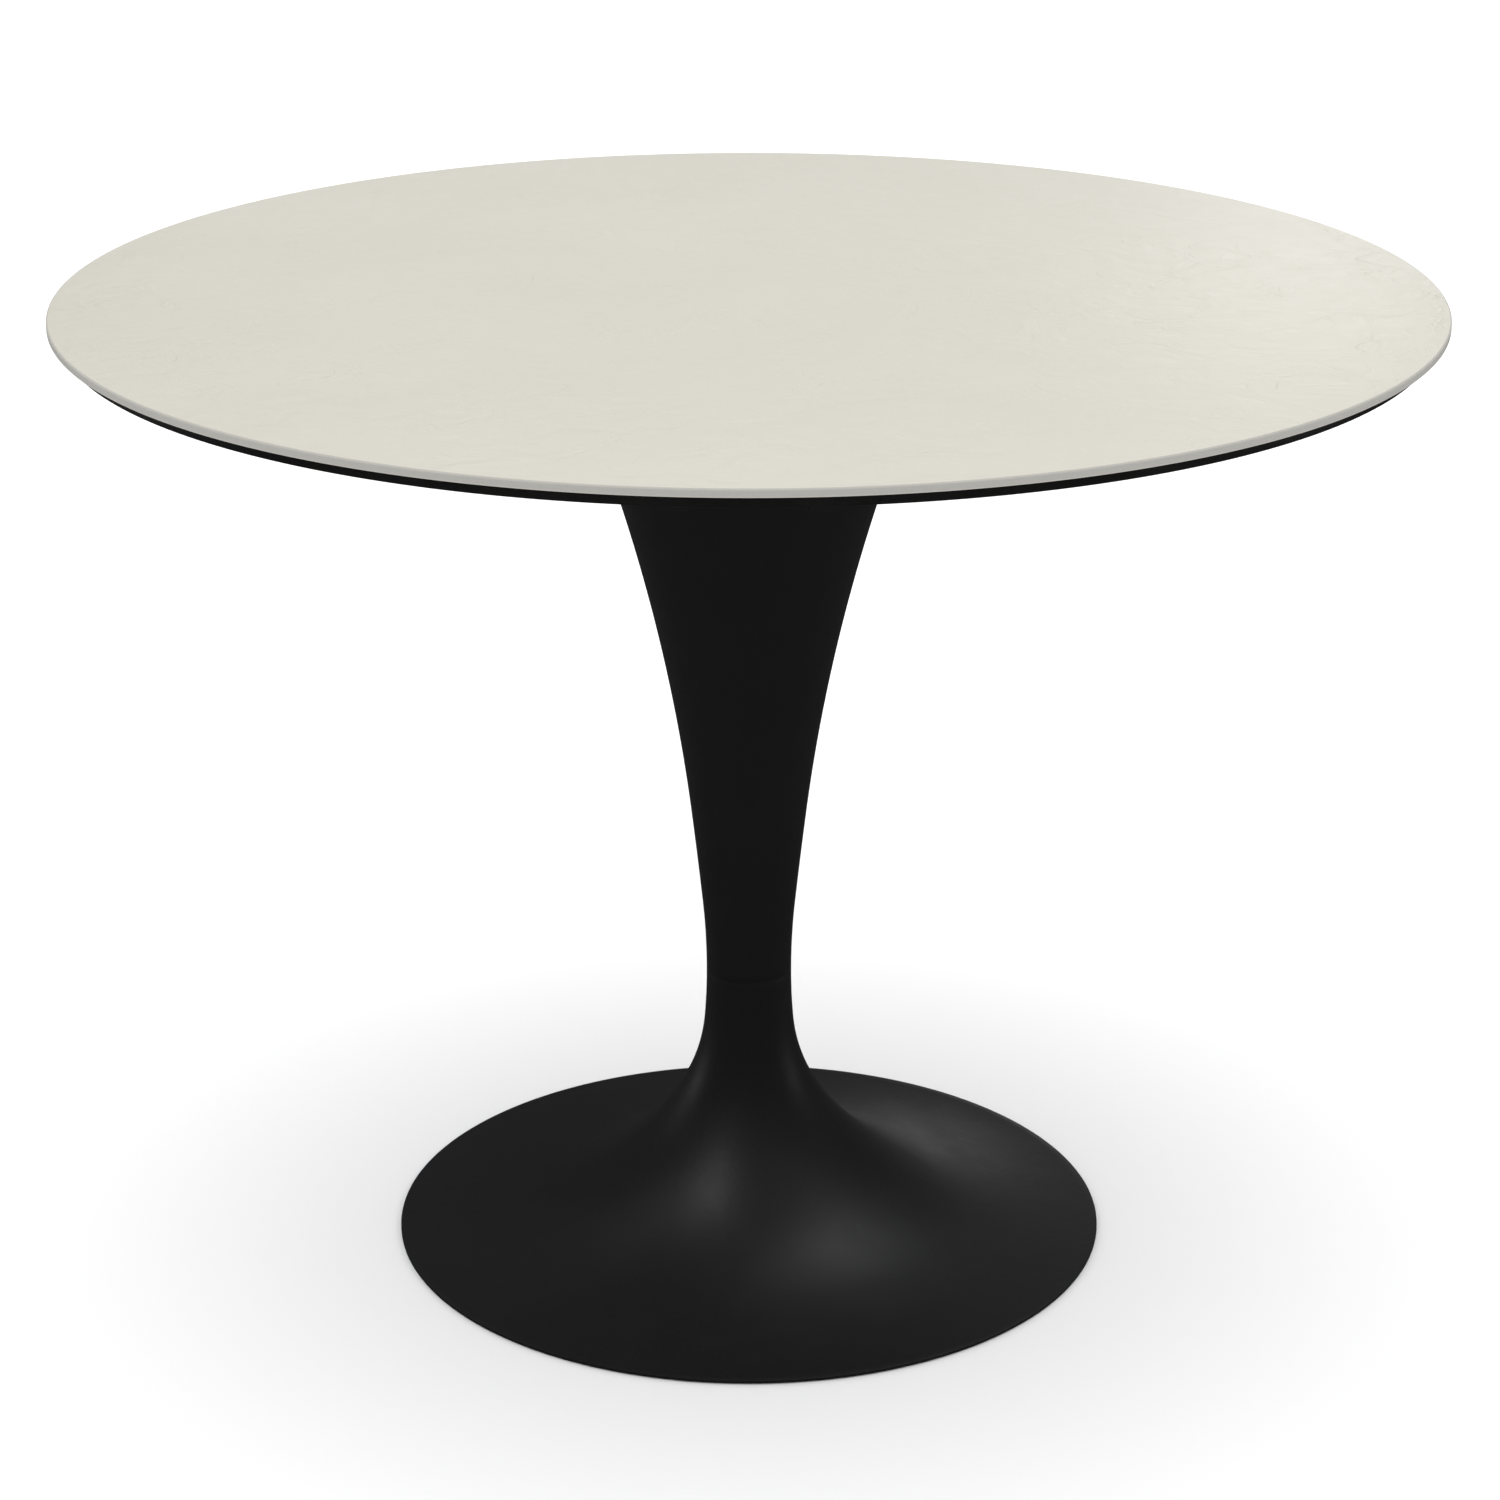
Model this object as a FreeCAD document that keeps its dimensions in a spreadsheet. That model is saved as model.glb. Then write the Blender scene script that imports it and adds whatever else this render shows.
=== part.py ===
import FreeCAD, Part
import math
import os
import re
import Sketcher

# Round pedestal table, in millimetres.
# Origin: on the floor under the centre of the top. +Z is up, -Y is the front.
# Heights are measured from the floor and radii from the upright centre line.

SIZES = [
    # whole table
    ("table_height", 738),
    ("top_radius", 500),
    ("foot_radius", 271.8),
    # slab, its bond line and the panel under it
    ("slab_thickness", 6),
    ("slab_arris", 0.8),
    ("bond_thickness", 0.5),
    ("bond_setback", 4),
    ("panel_overhang", 9.6),
    ("panel_thickness", 17.5),
    ("panel_edge_height", 8.1),
    ("panel_bevel_width", 53.4),
    ("panel_edge_round", 0.6),
    # rails under the panel
    ("rail_offset", 49),
    ("rail_width", 20),
    ("rail_depth", 20),
    ("rail_wall", 1.5),
    ("rail_corner", 2),
    ("rail_end_inset", 31),
    ("cap_flange", 2),
    ("cap_plug", 12),
    ("cap_fit", 0.1),
    # M6 screws that hold the rails to the panel
    ("screw_radius", 3),
    ("screw_hole_radius", 3.3),
    ("screw_head_radius", 6),
    ("screw_head_height", 3.4),
    ("screw_socket_flats", 4),
    ("screw_socket_depth", 2),
    ("screw_first", 180),
    ("screw_end_inset", 40),
    ("insert_radius", 4.5),
    ("insert_length", 12),
    ("insert_fit", 0.05),
    ("thread_fit", 0.05),
    # plate on the column's mouth, its bolts, washers and rivet nuts
    ("plate_thickness", 6),
    ("plate_margin", 2),
    ("plate_spigot", 3),
    ("plate_fit", 0.2),
    ("bolt_radius", 4),
    ("bolt_hole_radius", 4.5),
    ("bolt_head_radius", 7),
    ("bolt_head_height", 4.4),
    ("bolt_socket_flats", 5),
    ("bolt_socket_depth", 2.6),
    ("bolt_spread", 90),
    ("washer_radius", 8),
    ("washer_thickness", 1.6),
    ("rivet_radius", 5.5),
    ("rivet_length", 12),
    # column
    ("column_wall", 5),
    ("mouth_radius", 131),
    ("neck_radius", 32.34),
    ("neck_height", 210.4),
    ("waist_curve", 540),
    ("waist_angle", 5.98),
    ("stem_curve", 4916),
    ("stem_angle", 6.83),
    # foot
    ("foot_wall", 5),
    ("foot_clearance", 1),
    ("rim_height", 3),
    ("rim_angle", 87.7),
    ("ankle_curve", 478),
    ("ankle_angle", 4.79),
    ("instep_curve", 136),
    ("instep_angle", 31),
    ("flare_angle", 75),
    # sleeve that lines the column up on the foot
    ("seat_radius", 26),
    ("sleeve_wall", 4),
    ("sleeve_half_length", 40),
    ("sleeve_fit", 0.05),
    ("sleeve_end_gap", 0.2),
    ("diaphragm_thickness", 12),
    # M12 tie rod
    ("rod_radius", 6),
    ("rod_hole_radius", 6.6),
    ("rod_stick_out", 2),
    ("rod_chamfer", 1),
    ("nut_flats", 19),
    ("nut_height", 10),
    ("rod_washer_radius", 18),
    ("rod_washer_thickness", 3),
    # ballast
    ("ballast_thickness", 20),
    ("ballast_lift", 7),
    ("ballast_gap", 4),
    ("ballast_hole_radius", 42),
    ("ballast_bolt_circle", 85),
    ("ballast_bolt_count", 3),
    ("ballast_bolt_engaged", 14),
    ("counterbore_gap", 1.5),
    ("boss_radius", 11),
    # ring that the foot stands on
    ("ring_outer_inset", 4.8),
    ("ring_width", 11),
    ("ring_recess", 0.8),
    ("ring_fit", 0.1),
    # levelling glides
    ("glide_count", 4),
    ("glide_lift", 0.5),
    ("pad_radius", 14),
    ("pad_thickness", 3),
    ("pad_chamfer", 0.8),
    ("socket_depth", 1.5),
    ("stud_head_radius", 6),
    ("swivel_fit", 0.08),
    ("collar_flats", 13),
    ("collar_height", 2),
    ("stud_radius", 4),
    ("stud_length", 11.4),
    ("glide_boss_radius", 9),
    ("glide_boss_gap", 0.4),
    ("stud_roof", 3),
    ("stud_end_gap", 0.4),
]



def arc_radius(height, start, curve, angle):
    """Formula for the radius at a height on an arc of the foot that leaves start at an angle."""
    sine = f"sin({angle}) + ({start}_height - ({height})) / {curve}"
    return f"{start}_radius + {curve} * (cos({angle}) - cos(asin({sine})))"


def foot_radius_at(height, side=""):
    """Formula for the foot's radius at a height, outside, or inside where side is cave_."""
    flare = arc_radius(height, side + "instep", side + "flare_curve", "instep_angle")
    apron = arc_radius(height, side + "flare", side + "apron_curve", "flare_angle")
    return f"({height} > {side}flare_height ? {flare} : {apron})"


# Every value that follows from the sizes. Each may use the ones above it.
FORMULAS = [
    # top, from the table's upper face downwards
    ("slab_bottom", "table_height - slab_thickness"),
    ("bond_bottom", "slab_bottom - bond_thickness"),
    ("panel_radius", "top_radius - panel_overhang"),
    ("bond_radius", "panel_radius - bond_setback"),
    ("panel_edge_bottom", "bond_bottom - panel_edge_height"),
    ("panel_bottom", "bond_bottom - panel_thickness"),
    ("panel_flat_radius", "panel_radius - panel_bevel_width"),
    ("rail_bottom", "panel_bottom - rail_depth"),
    ("rail_inner", "rail_offset - rail_width / 2"),
    ("rail_outer", "rail_offset + rail_width / 2"),
    ("rail_room", "sqrt(panel_flat_radius * panel_flat_radius - rail_outer * rail_outer)"),
    ("rail_half_length", "rail_room - rail_end_inset - cap_flange"),
    ("screw_second", "rail_half_length - screw_end_inset"),
    ("screw_pitch", "screw_second - screw_first"),
    ("column_top", "rail_bottom - plate_thickness"),
    ("insert_top", "panel_bottom + insert_length"),
    ("screw_head_bottom", "rail_bottom - screw_head_height"),
    # column outline: neck, waist, stem, mouth
    ("waist_radius", "neck_radius + waist_curve * (1 - cos(waist_angle))"),
    ("waist_height", "neck_height + waist_curve * sin(waist_angle)"),
    ("stem_radius", "waist_radius + stem_curve * (cos(waist_angle) - cos(stem_angle))"),
    ("stem_height", "waist_height + stem_curve * (sin(stem_angle) - sin(waist_angle))"),
    ("bell_width", "mouth_radius - stem_radius"),
    ("bell_height", "column_top - stem_height"),
    ("bell_reach", "2 * (bell_width * cos(stem_angle) - bell_height * sin(stem_angle))"),
    ("bell_curve", "(bell_width * bell_width + bell_height * bell_height) / bell_reach"),
    # foot outline: ankle, instep, then two arcs that meet the rim at its height and slope
    ("ankle_radius", "neck_radius + ankle_curve * (1 - cos(ankle_angle))"),
    ("ankle_height", "neck_height - ankle_curve * sin(ankle_angle)"),
    ("instep_radius", "ankle_radius + instep_curve * (cos(ankle_angle) - cos(instep_angle))"),
    ("instep_height", "ankle_height - instep_curve * (sin(instep_angle) - sin(ankle_angle))"),
    ("flare_reach", "cos(instep_angle) - cos(flare_angle)"),
    ("flare_drop", "sin(flare_angle) - sin(instep_angle)"),
    ("apron_reach", "cos(flare_angle) - cos(rim_angle)"),
    ("apron_drop", "sin(rim_angle) - sin(flare_angle)"),
    ("skirt_width", "foot_radius - instep_radius"),
    ("skirt_height", "instep_height - rim_height"),
    ("skirt_scale", "flare_reach * apron_drop - apron_reach * flare_drop"),
    ("flare_curve", "(skirt_width * apron_drop - apron_reach * skirt_height) / skirt_scale"),
    ("apron_curve", "(flare_reach * skirt_height - flare_drop * skirt_width) / skirt_scale"),
    ("flare_radius", "instep_radius + flare_curve * flare_reach"),
    ("flare_height", "instep_height - flare_curve * flare_drop"),
    # inside of the column: its outline moved in by the wall, with a straight seat at the neck
    ("bore_stem_radius", "stem_radius - column_wall * cos(stem_angle)"),
    ("bore_stem_height", "stem_height + column_wall * sin(stem_angle)"),
    ("bore_waist_radius", "waist_radius - column_wall * cos(waist_angle)"),
    ("bore_waist_height", "waist_height + column_wall * sin(waist_angle)"),
    ("bore_top_sine", "sin(stem_angle) + (column_top - bore_stem_height) / (bell_curve + column_wall)"),
    ("bore_top_radius", "bore_stem_radius + (bell_curve + column_wall)"
                        " * (cos(stem_angle) - sqrt(1 - bore_top_sine * bore_top_sine))"),
    ("seat_depth", "sleeve_half_length + sleeve_end_gap"),
    ("seat_top", "neck_height + seat_depth"),
    ("seat_bottom", "neck_height - seat_depth"),
    ("bore_neck_radius", "neck_radius - column_wall"),
    ("bore_seat_radius", "bore_neck_radius + (waist_curve + column_wall)"
                         " * (1 - cos(asin(seat_depth / (waist_curve + column_wall))))"),
    # inside of the foot: its outline moved in by the wall, a diaphragm under the sleeve
    ("diaphragm_bottom", "seat_bottom - diaphragm_thickness"),
    ("cave_ankle_radius", "ankle_radius - foot_wall * cos(ankle_angle)"),
    ("cave_ankle_height", "ankle_height - foot_wall * sin(ankle_angle)"),
    ("cave_instep_radius", "instep_radius - foot_wall * cos(instep_angle)"),
    ("cave_instep_height", "instep_height - foot_wall * sin(instep_angle)"),
    ("cave_flare_radius", "flare_radius - foot_wall * cos(flare_angle)"),
    ("cave_flare_height", "flare_height - foot_wall * sin(flare_angle)"),
    ("cave_instep_curve", "instep_curve + foot_wall"),
    ("cave_flare_curve", "flare_curve + foot_wall"),
    ("cave_apron_curve", "apron_curve + foot_wall"),
    ("cave_top_radius",
     arc_radius("diaphragm_bottom", "cave_ankle", "cave_instep_curve", "ankle_angle")),
    ("cave_edge_radius",
     arc_radius("foot_clearance", "cave_flare", "cave_apron_curve", "flare_angle")),
    # clamp: rod, washer and nuts
    ("rod_nut_bottom", "diaphragm_bottom - rod_washer_thickness - nut_height"),
    ("rod_bottom", "rod_nut_bottom - rod_stick_out"),
    ("rod_top", "rail_bottom + nut_height + rod_stick_out"),
    ("sleeve_radius", "seat_radius - sleeve_fit"),
    ("sleeve_bottom", "neck_height - sleeve_half_length"),
    # plate and its bolts
    ("spigot_radius", "bore_top_radius - plate_fit - plate_spigot * tan(asin(bore_top_sine))"),
    ("plate_radius", "mouth_radius - plate_margin"),
    ("plate_bottom", "column_top - plate_spigot"),
    ("bolt_washer_bottom", "plate_bottom - washer_thickness"),
    ("bolt_head_bottom", "bolt_washer_bottom - bolt_head_height"),
    ("rivet_top", "rail_bottom + rivet_length"),
    # ballast
    ("ballast_top", "ballast_lift + ballast_thickness"),
    ("ballast_radius", foot_radius_at("ballast_top", "cave_") + " - ballast_gap"),
    ("ballast_hole_top", "ballast_top + ballast_bolt_engaged + counterbore_gap"),
    ("ballast_bolt_bottom", "ballast_lift + counterbore_gap"),
    # standing ring
    ("ring_outer", "foot_radius - ring_outer_inset"),
    ("ring_inner", "ring_outer - ring_width"),
    ("ring_top", "foot_clearance + ring_recess"),
    # glides, from the floor upwards
    ("pad_top", "glide_lift + pad_thickness"),
    ("socket_bottom", "pad_top - socket_depth"),
    ("collar_bottom", "pad_top + swivel_fit"),
    ("collar_top", "collar_bottom + collar_height"),
    ("stud_top", "collar_top + stud_length"),
    ("glide_boss_bottom", "collar_top + glide_boss_gap"),
    ("glide_hole_top", "stud_top + stud_end_gap"),
    ("stud_cover", "glide_hole_top + stud_roof"),
    ("glide_circle", foot_radius_at("stud_cover") + " - stud_radius"),
]


# How the pieces repeat around the centre line, in degrees.
BALLAST_BOLT_START = 90
GLIDE_START = 45
WHOLE_TURN = 360
GLIDE_COUNT = dict(SIZES)["glide_count"]

doc = FreeCAD.newDocument("PedestalTable")
NAMES = {}


def full(formula):
    """The formula with each plain name led by the object that holds its value."""
    return re.sub(r"[a-z]+(?:_[a-z]+)+", lambda word: NAMES[word.group(0)], str(formula))


def fill_sheet():
    """Write the driving sizes into the spreadsheet, one named cell each."""
    sheet = doc.addObject("Spreadsheet::Sheet", "Dimensions")
    for row, (name, value) in enumerate(SIZES, start=1):
        sheet.set(f"A{row}", name.replace("_", " "))
        sheet.set(f"B{row}", str(value))
        sheet.setAlias(f"B{row}", name)
        NAMES[name] = "Dimensions." + name
    doc.recompute()
    return sheet


def work_out():
    """Hold every value that follows from the sizes as a bound property."""
    worked = doc.addObject("App::VarSet", "Worked")
    for name, formula in FORMULAS:
        worked.addProperty("App::PropertyFloat", name, "Worked")
        worked.setExpression(name, full(formula))
        NAMES[name] = "Worked." + name
    doc.recompute()
    return worked


def value(formula):
    """The formula's present value as a plain number."""
    return float(sheet.evalExpression(full(formula)))


# ---------------------------------------------------------------- drawing

def new_body(label):
    body = doc.addObject("PartDesign::Body", label)
    body.Label = label
    return body


def origin_feature(body, role):
    return next(feature for feature in body.Origin.OriginFeatures if feature.Role == role)


def new_sketch(body, name, plane, lift="0"):
    """A sketch on one of the body's own planes, moved along that plane's normal by lift."""
    sketch = body.newObject("Sketcher::SketchObject", name)
    sketch.AttachmentSupport = (origin_feature(body, plane), [""])
    sketch.MapMode = "FlatFace"
    sketch.setExpression("AttachmentOffset.Base.z", full(lift))
    return sketch


def bind(sketch, constraint, formula):
    index = sketch.addConstraint(constraint)
    sketch.setExpression(f"Constraints[{index}]", full(formula))


def place_point(sketch, item, point, across, up):
    """Fix a sketch point at its distances across and up from the sketch's origin."""
    for kind, formula, axis in (("DistanceX", across, -2), ("DistanceY", up, -1)):
        if formula == "0":
            sketch.addConstraint(Sketcher.Constraint("PointOnObject", item, point, axis))
        else:
            bind(sketch, Sketcher.Constraint(kind, -1, 1, item, point, value(formula)), formula)


def arc_between(start, finish, radius, side):
    """The arc from start to finish with its centre on the left (1) or right (-1) of the way."""
    chord = finish - start
    middle = (start + finish) * 0.5
    normal = FreeCAD.Vector(-chord.y, chord.x, 0).normalize()
    sagitta = radius - math.sqrt(radius ** 2 - (chord.Length / 2) ** 2)
    return Part.Arc(start, middle - normal * (side * sagitta), finish)


def draw_outline(sketch, path):
    """Draw a closed outline. A step is (across, up), or (across, up, radius, side) for an arc."""
    points = [FreeCAD.Vector(value(step[0]), value(step[1]), 0) for step in path]
    starts = []
    ends = []
    for index in range(len(path)):
        after = (index + 1) % len(path)
        if len(path[after]) == 2:
            edge = Part.LineSegment(points[index], points[after])
            forward = True
        else:
            radius, side = path[after][2:]
            edge = arc_between(points[index], points[after], value(radius), side)
            forward = side > 0
        sketch.addGeometry(edge, False)
        starts.append(1 if forward else 2)
        ends.append(2 if forward else 1)
    for index, step in enumerate(path):
        after = (index + 1) % len(path)
        sketch.addConstraint(
            Sketcher.Constraint("Coincident", index, ends[index], after, starts[after]))
        place_point(sketch, index, starts[index], step[0], step[1])
        if len(path[after]) > 2:
            radius = path[after][2]
            bind(sketch, Sketcher.Constraint("Radius", index, value(radius)), radius)


def draw_circle(sketch, across, up, radius):
    centre = FreeCAD.Vector(value(across), value(up), 0)
    item = sketch.addGeometry(Part.Circle(centre, FreeCAD.Vector(0, 0, 1), value(radius)), False)
    place_point(sketch, item, 3, across, up)
    bind(sketch, Sketcher.Constraint("Radius", item, value(radius)), radius)


def draw_rectangle(sketch, left, right, low, high):
    path = [(left, low), (right, low), (right, high), (left, high)]
    points = [FreeCAD.Vector(value(across), value(up), 0) for across, up in path]
    first = sketch.GeometryCount
    for index in range(4):
        sketch.addGeometry(Part.LineSegment(points[index], points[(index + 1) % 4]), False)
    for index, (across, up) in enumerate(path):
        after = first + (index + 1) % 4
        sketch.addConstraint(Sketcher.Constraint("Coincident", first + index, 2, after, 1))
        place_point(sketch, first + index, 1, across, up)


def draw_hexagon(sketch, across, up, flats):
    """A hexagon on a construction circle, with two corners level with its centre."""
    corner_radius = f"({flats}) / sqrt(3)"
    centre = FreeCAD.Vector(value(across), value(up), 0)
    reach = value(corner_radius)
    circle = Part.Circle(centre, FreeCAD.Vector(0, 0, 1), reach)
    guide = sketch.addGeometry(circle, True)
    corners = []
    for index in range(6):
        turn = math.radians(60 * index)
        corners.append(centre + FreeCAD.Vector(math.cos(turn), math.sin(turn), 0) * reach)
    sides = []
    for index in range(6):
        side = Part.LineSegment(corners[index], corners[(index + 1) % 6])
        sides.append(sketch.addGeometry(side, False))
    for index, item in enumerate(sides):
        sketch.addConstraint(Sketcher.Constraint("Coincident", item, 2, sides[(index + 1) % 6], 1))
        sketch.addConstraint(Sketcher.Constraint("PointOnObject", item, 1, guide))
    for item in sides[1:]:
        sketch.addConstraint(Sketcher.Constraint("Equal", sides[0], item))
    sketch.addConstraint(Sketcher.Constraint("Horizontal", guide, 3, sides[0], 1))
    place_point(sketch, guide, 3, across, up)
    bind(sketch, Sketcher.Constraint("Radius", guide, reach), corner_radius)


# --------------------------------------------------------------- features

def settle(feature):
    """Work the new feature out and stop if it failed or left nothing."""
    doc.recompute()
    if any(state in ("Invalid", "Error") for state in feature.State) or feature.Shape.isNull():
        raise RuntimeError(f"{feature.Label} could not be made")
    return feature


def turn(body, name, path, axis="0", back="0"):
    """Turn an outline round the upright line at x = axis, y = back."""
    sketch = new_sketch(body, name + "Outline", "XZ_Plane", f"-({back})")
    draw_outline(sketch, path)
    turned = body.newObject("PartDesign::Revolution", name)
    turned.Profile = sketch
    if axis == "0":
        turned.ReferenceAxis = (sketch, ["V_Axis"])
    else:
        low, high = (FreeCAD.Vector(value(axis), value(path[k][1]), 0) for k in (0, -1))
        line = sketch.addGeometry(Part.LineSegment(low, high), True)
        place_point(sketch, line, 1, axis, path[0][1])
        place_point(sketch, line, 2, axis, path[-1][1])
        turned.ReferenceAxis = (sketch, ["Axis0"])
    turned.Angle = WHOLE_TURN
    return settle(turned)


def raise_pad(body, name, sketch, length, flip=False, both_ways=False):
    pad = body.newObject("PartDesign::Pad", name)
    pad.Profile = sketch
    pad.Reversed = flip
    pad.Midplane = both_ways
    pad.setExpression("Length", full(length))
    return settle(pad)


def cut_up(body, name, sketch, depth):
    """Cut the sketch upwards into the body, and stop if nothing was removed."""
    before = body.Shape.Volume
    pocket = body.newObject("PartDesign::Pocket", name)
    pocket.Profile = sketch
    pocket.Reversed = True
    pocket.setExpression("Length", full(depth))
    settle(pocket)
    if pocket.Shape.Volume > before - 1:
        raise RuntimeError(f"{name} removes nothing")
    return pocket


def repeat_round(body, features, count):
    """Repeat features evenly round the centre line."""
    pattern = body.newObject("PartDesign::PolarPattern", "Round")
    pattern.Originals = features
    pattern.Axis = (origin_feature(body, "Z_Axis"), [""])
    pattern.Angle = WHOLE_TURN
    pattern.setExpression("Occurrences", full(count))
    body.Tip = pattern
    return settle(pattern)


def repeat_square(body, features, pitch=None, left_too=True):
    """Repeat features along y by pitch, then front to back, then left to right."""
    steps = []
    if pitch:
        row = body.newObject("PartDesign::LinearPattern", "Row")
        row.Direction = (origin_feature(body, "Y_Axis"), [""])
        row.Occurrences = 2
        row.setExpression("Length", full(pitch))
        steps.append(row)
    for role in ["XZ_Plane", "YZ_Plane"][:2 if left_too else 1]:
        mirror = body.newObject("PartDesign::Mirrored", "Mirror")
        mirror.MirrorPlane = (origin_feature(body, role), [""])
        steps.append(mirror)
    repeats = body.newObject("PartDesign::MultiTransform", "Repeats")
    repeats.Originals = features
    repeats.Transformations = steps
    body.Tip = repeats
    return settle(repeats)


def soften(body, radius, wanted):
    """Round every edge of the body that wanted(edge) picks."""
    base = body.Tip
    names = [f"Edge{k}" for k, edge in enumerate(base.Shape.Edges, start=1) if wanted(edge)]
    fillet = body.newObject("PartDesign::Fillet", "Rounded")
    fillet.Base = (base, names)
    fillet.setExpression("Radius", full(radius))
    return settle(fillet)


def hoop(inner, outer, low, high, centre="0"):
    """Outline of a ring of rectangular section."""
    inside = f"{centre} + {inner}"
    outside = f"{centre} + {outer}"
    return [(inside, low), (outside, low), (outside, high), (inside, high)]


def bolt_outline(head, shank, low, under_head, high, centre):
    """Half section of a bolt that points up, head down."""
    return [
        (centre, low),
        (f"{centre} + {head}", low),
        (f"{centre} + {head}", under_head),
        (f"{centre} + {shank}", under_head),
        (f"{centre} + {shank}", high),
        (centre, high),
    ]


def cut_part(name, base, tool):
    """The first object less the second."""
    cut = doc.addObject("Part::Cut", name)
    cut.Base = base
    cut.Tool = tool
    cut.Label = name
    return settle(cut)


def cylinders_round(name, circle, radius, low, high, count, start):
    """A ring of upright cylinders, used to add bosses or drill holes."""
    body = new_body(name)
    sketch = new_sketch(body, "Disc", "XY_Plane", low)
    draw_circle(sketch, circle, "0", radius)
    pad = raise_pad(body, "Cylinder", sketch, f"{high} - ({low})")
    repeat_round(body, [pad], count)
    body.Placement = turned_placement(start)
    return body


def turned_placement(angle):
    return FreeCAD.Placement(FreeCAD.Vector(), FreeCAD.Rotation(FreeCAD.Vector(0, 0, 1), angle))


# -------------------------------------------------------------------- top

def ceramic_top():
    """Round slab with a small arris above and below."""
    body = new_body("ceramic_top")
    turn(body, "Slab", [
        ("0", "slab_bottom"),
        ("top_radius - slab_arris", "slab_bottom"),
        ("top_radius", "slab_bottom + slab_arris"),
        ("top_radius", "table_height - slab_arris"),
        ("top_radius - slab_arris", "table_height"),
        ("0", "table_height"),
    ])
    return body


def bond_layer():
    """Thin adhesive bed between slab and panel."""
    body = new_body("bond_layer")
    turn(body, "Bed", [
        ("0", "bond_bottom"),
        ("bond_radius", "bond_bottom"),
        ("bond_radius", "slab_bottom"),
        ("0", "slab_bottom"),
    ])
    return body


def support_panel():
    """Lacquered panel, bevelled underneath towards its thin edge, with blind holes for inserts."""
    body = new_body("support_panel")
    turn(body, "Panel", [
        ("0", "panel_bottom"),
        ("panel_flat_radius", "panel_bottom"),
        ("panel_radius", "panel_edge_bottom"),
        ("panel_radius", "bond_bottom"),
        ("0", "bond_bottom"),
    ])
    edge_radius = value("panel_radius")
    soften(body, "panel_edge_round",
           lambda edge: isinstance(edge.Curve, Part.Circle)
           and abs(edge.Curve.Radius - edge_radius) < 1e-6)
    sketch = new_sketch(body, "InsertHoles", "XY_Plane", "panel_bottom")
    draw_circle(sketch, "rail_offset", "screw_first", "insert_radius + insert_fit")
    holes = cut_up(body, "InsertHole", sketch, "insert_length")
    repeat_square(body, [holes], "screw_pitch")
    return body


def panel_inserts():
    """Eight threaded bushes pressed into the panel."""
    body = new_body("panel_inserts")
    path = hoop("screw_radius + thread_fit", "insert_radius", "panel_bottom", "insert_top",
                "rail_offset")
    bush = turn(body, "Bush", path, "rail_offset", "screw_first")
    repeat_square(body, [bush], "screw_pitch")
    return body


# ------------------------------------------------------------------ rails

def rail(label, angle):
    """Square steel tube that lies front to back, drilled for its screws and rivet nuts."""
    body = new_body(label)
    section = new_sketch(body, "Section", "XZ_Plane")
    draw_rectangle(section, "rail_inner", "rail_outer", "rail_bottom", "panel_bottom")
    draw_rectangle(section, "rail_inner + rail_wall", "rail_outer - rail_wall",
                   "rail_bottom + rail_wall", "panel_bottom - rail_wall")
    raise_pad(body, "Tube", section, "2 * rail_half_length", both_ways=True)
    corners = [(value(x), value(z)) for x in ("rail_inner", "rail_outer")
               for z in ("rail_bottom", "panel_bottom")]
    soften(body, "rail_corner",
           lambda edge: any(abs(edge.BoundBox.XMin - x) + abs(edge.BoundBox.XMax - x)
                            + abs(edge.BoundBox.ZMin - z) + abs(edge.BoundBox.ZMax - z) < 1e-6
                            for x, z in corners))
    screw_holes = new_sketch(body, "ScrewHoles", "XY_Plane", "rail_bottom")
    draw_circle(screw_holes, "rail_offset", "screw_first", "screw_hole_radius")
    draw_circle(screw_holes, "rail_offset", "screw_second", "screw_hole_radius")
    through = cut_up(body, "ScrewHole", screw_holes, "rail_depth")
    nut_hole = new_sketch(body, "NutHole", "XY_Plane", "rail_bottom")
    draw_circle(nut_hole, "rail_offset", "bolt_spread", "rivet_radius + insert_fit")
    lower_wall = cut_up(body, "RivetHole", nut_hole, "rail_wall")
    repeat_square(body, [through, lower_wall], left_too=False)
    body.Placement = turned_placement(angle)
    return body


def rail_end_caps():
    """Four plastic plugs that close the rails' ends."""
    body = new_body("rail_end_caps")
    inset = "rail_wall + cap_fit"
    face = new_sketch(body, "Face", "XZ_Plane", "-rail_half_length")
    draw_rectangle(face, "rail_inner", "rail_outer", "rail_bottom", "panel_bottom")
    flange = raise_pad(body, "Flange", face, "cap_flange", flip=True)
    stem = new_sketch(body, "Stem", "XZ_Plane", "-rail_half_length")
    draw_rectangle(stem, f"rail_inner + {inset}", f"rail_outer - ({inset})",
                   f"rail_bottom + {inset}", f"panel_bottom - ({inset})")
    plug = raise_pad(body, "Plug", stem, "cap_plug")
    repeat_square(body, [flange, plug])
    return body


def rail_screws():
    """Eight button-head screws, up through both walls of the rails into the inserts."""
    body = new_body("rail_screws")
    path = bolt_outline("screw_head_radius", "screw_radius", "screw_head_bottom", "rail_bottom",
                        "insert_top", "rail_offset")
    screw = turn(body, "Screw", path, "rail_offset", "screw_first")
    key = new_sketch(body, "Key", "XY_Plane", "screw_head_bottom")
    draw_hexagon(key, "rail_offset", "screw_first", "screw_socket_flats")
    socket = cut_up(body, "Socket", key, "screw_socket_depth")
    repeat_square(body, [screw, socket], "screw_pitch")
    return body


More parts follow.
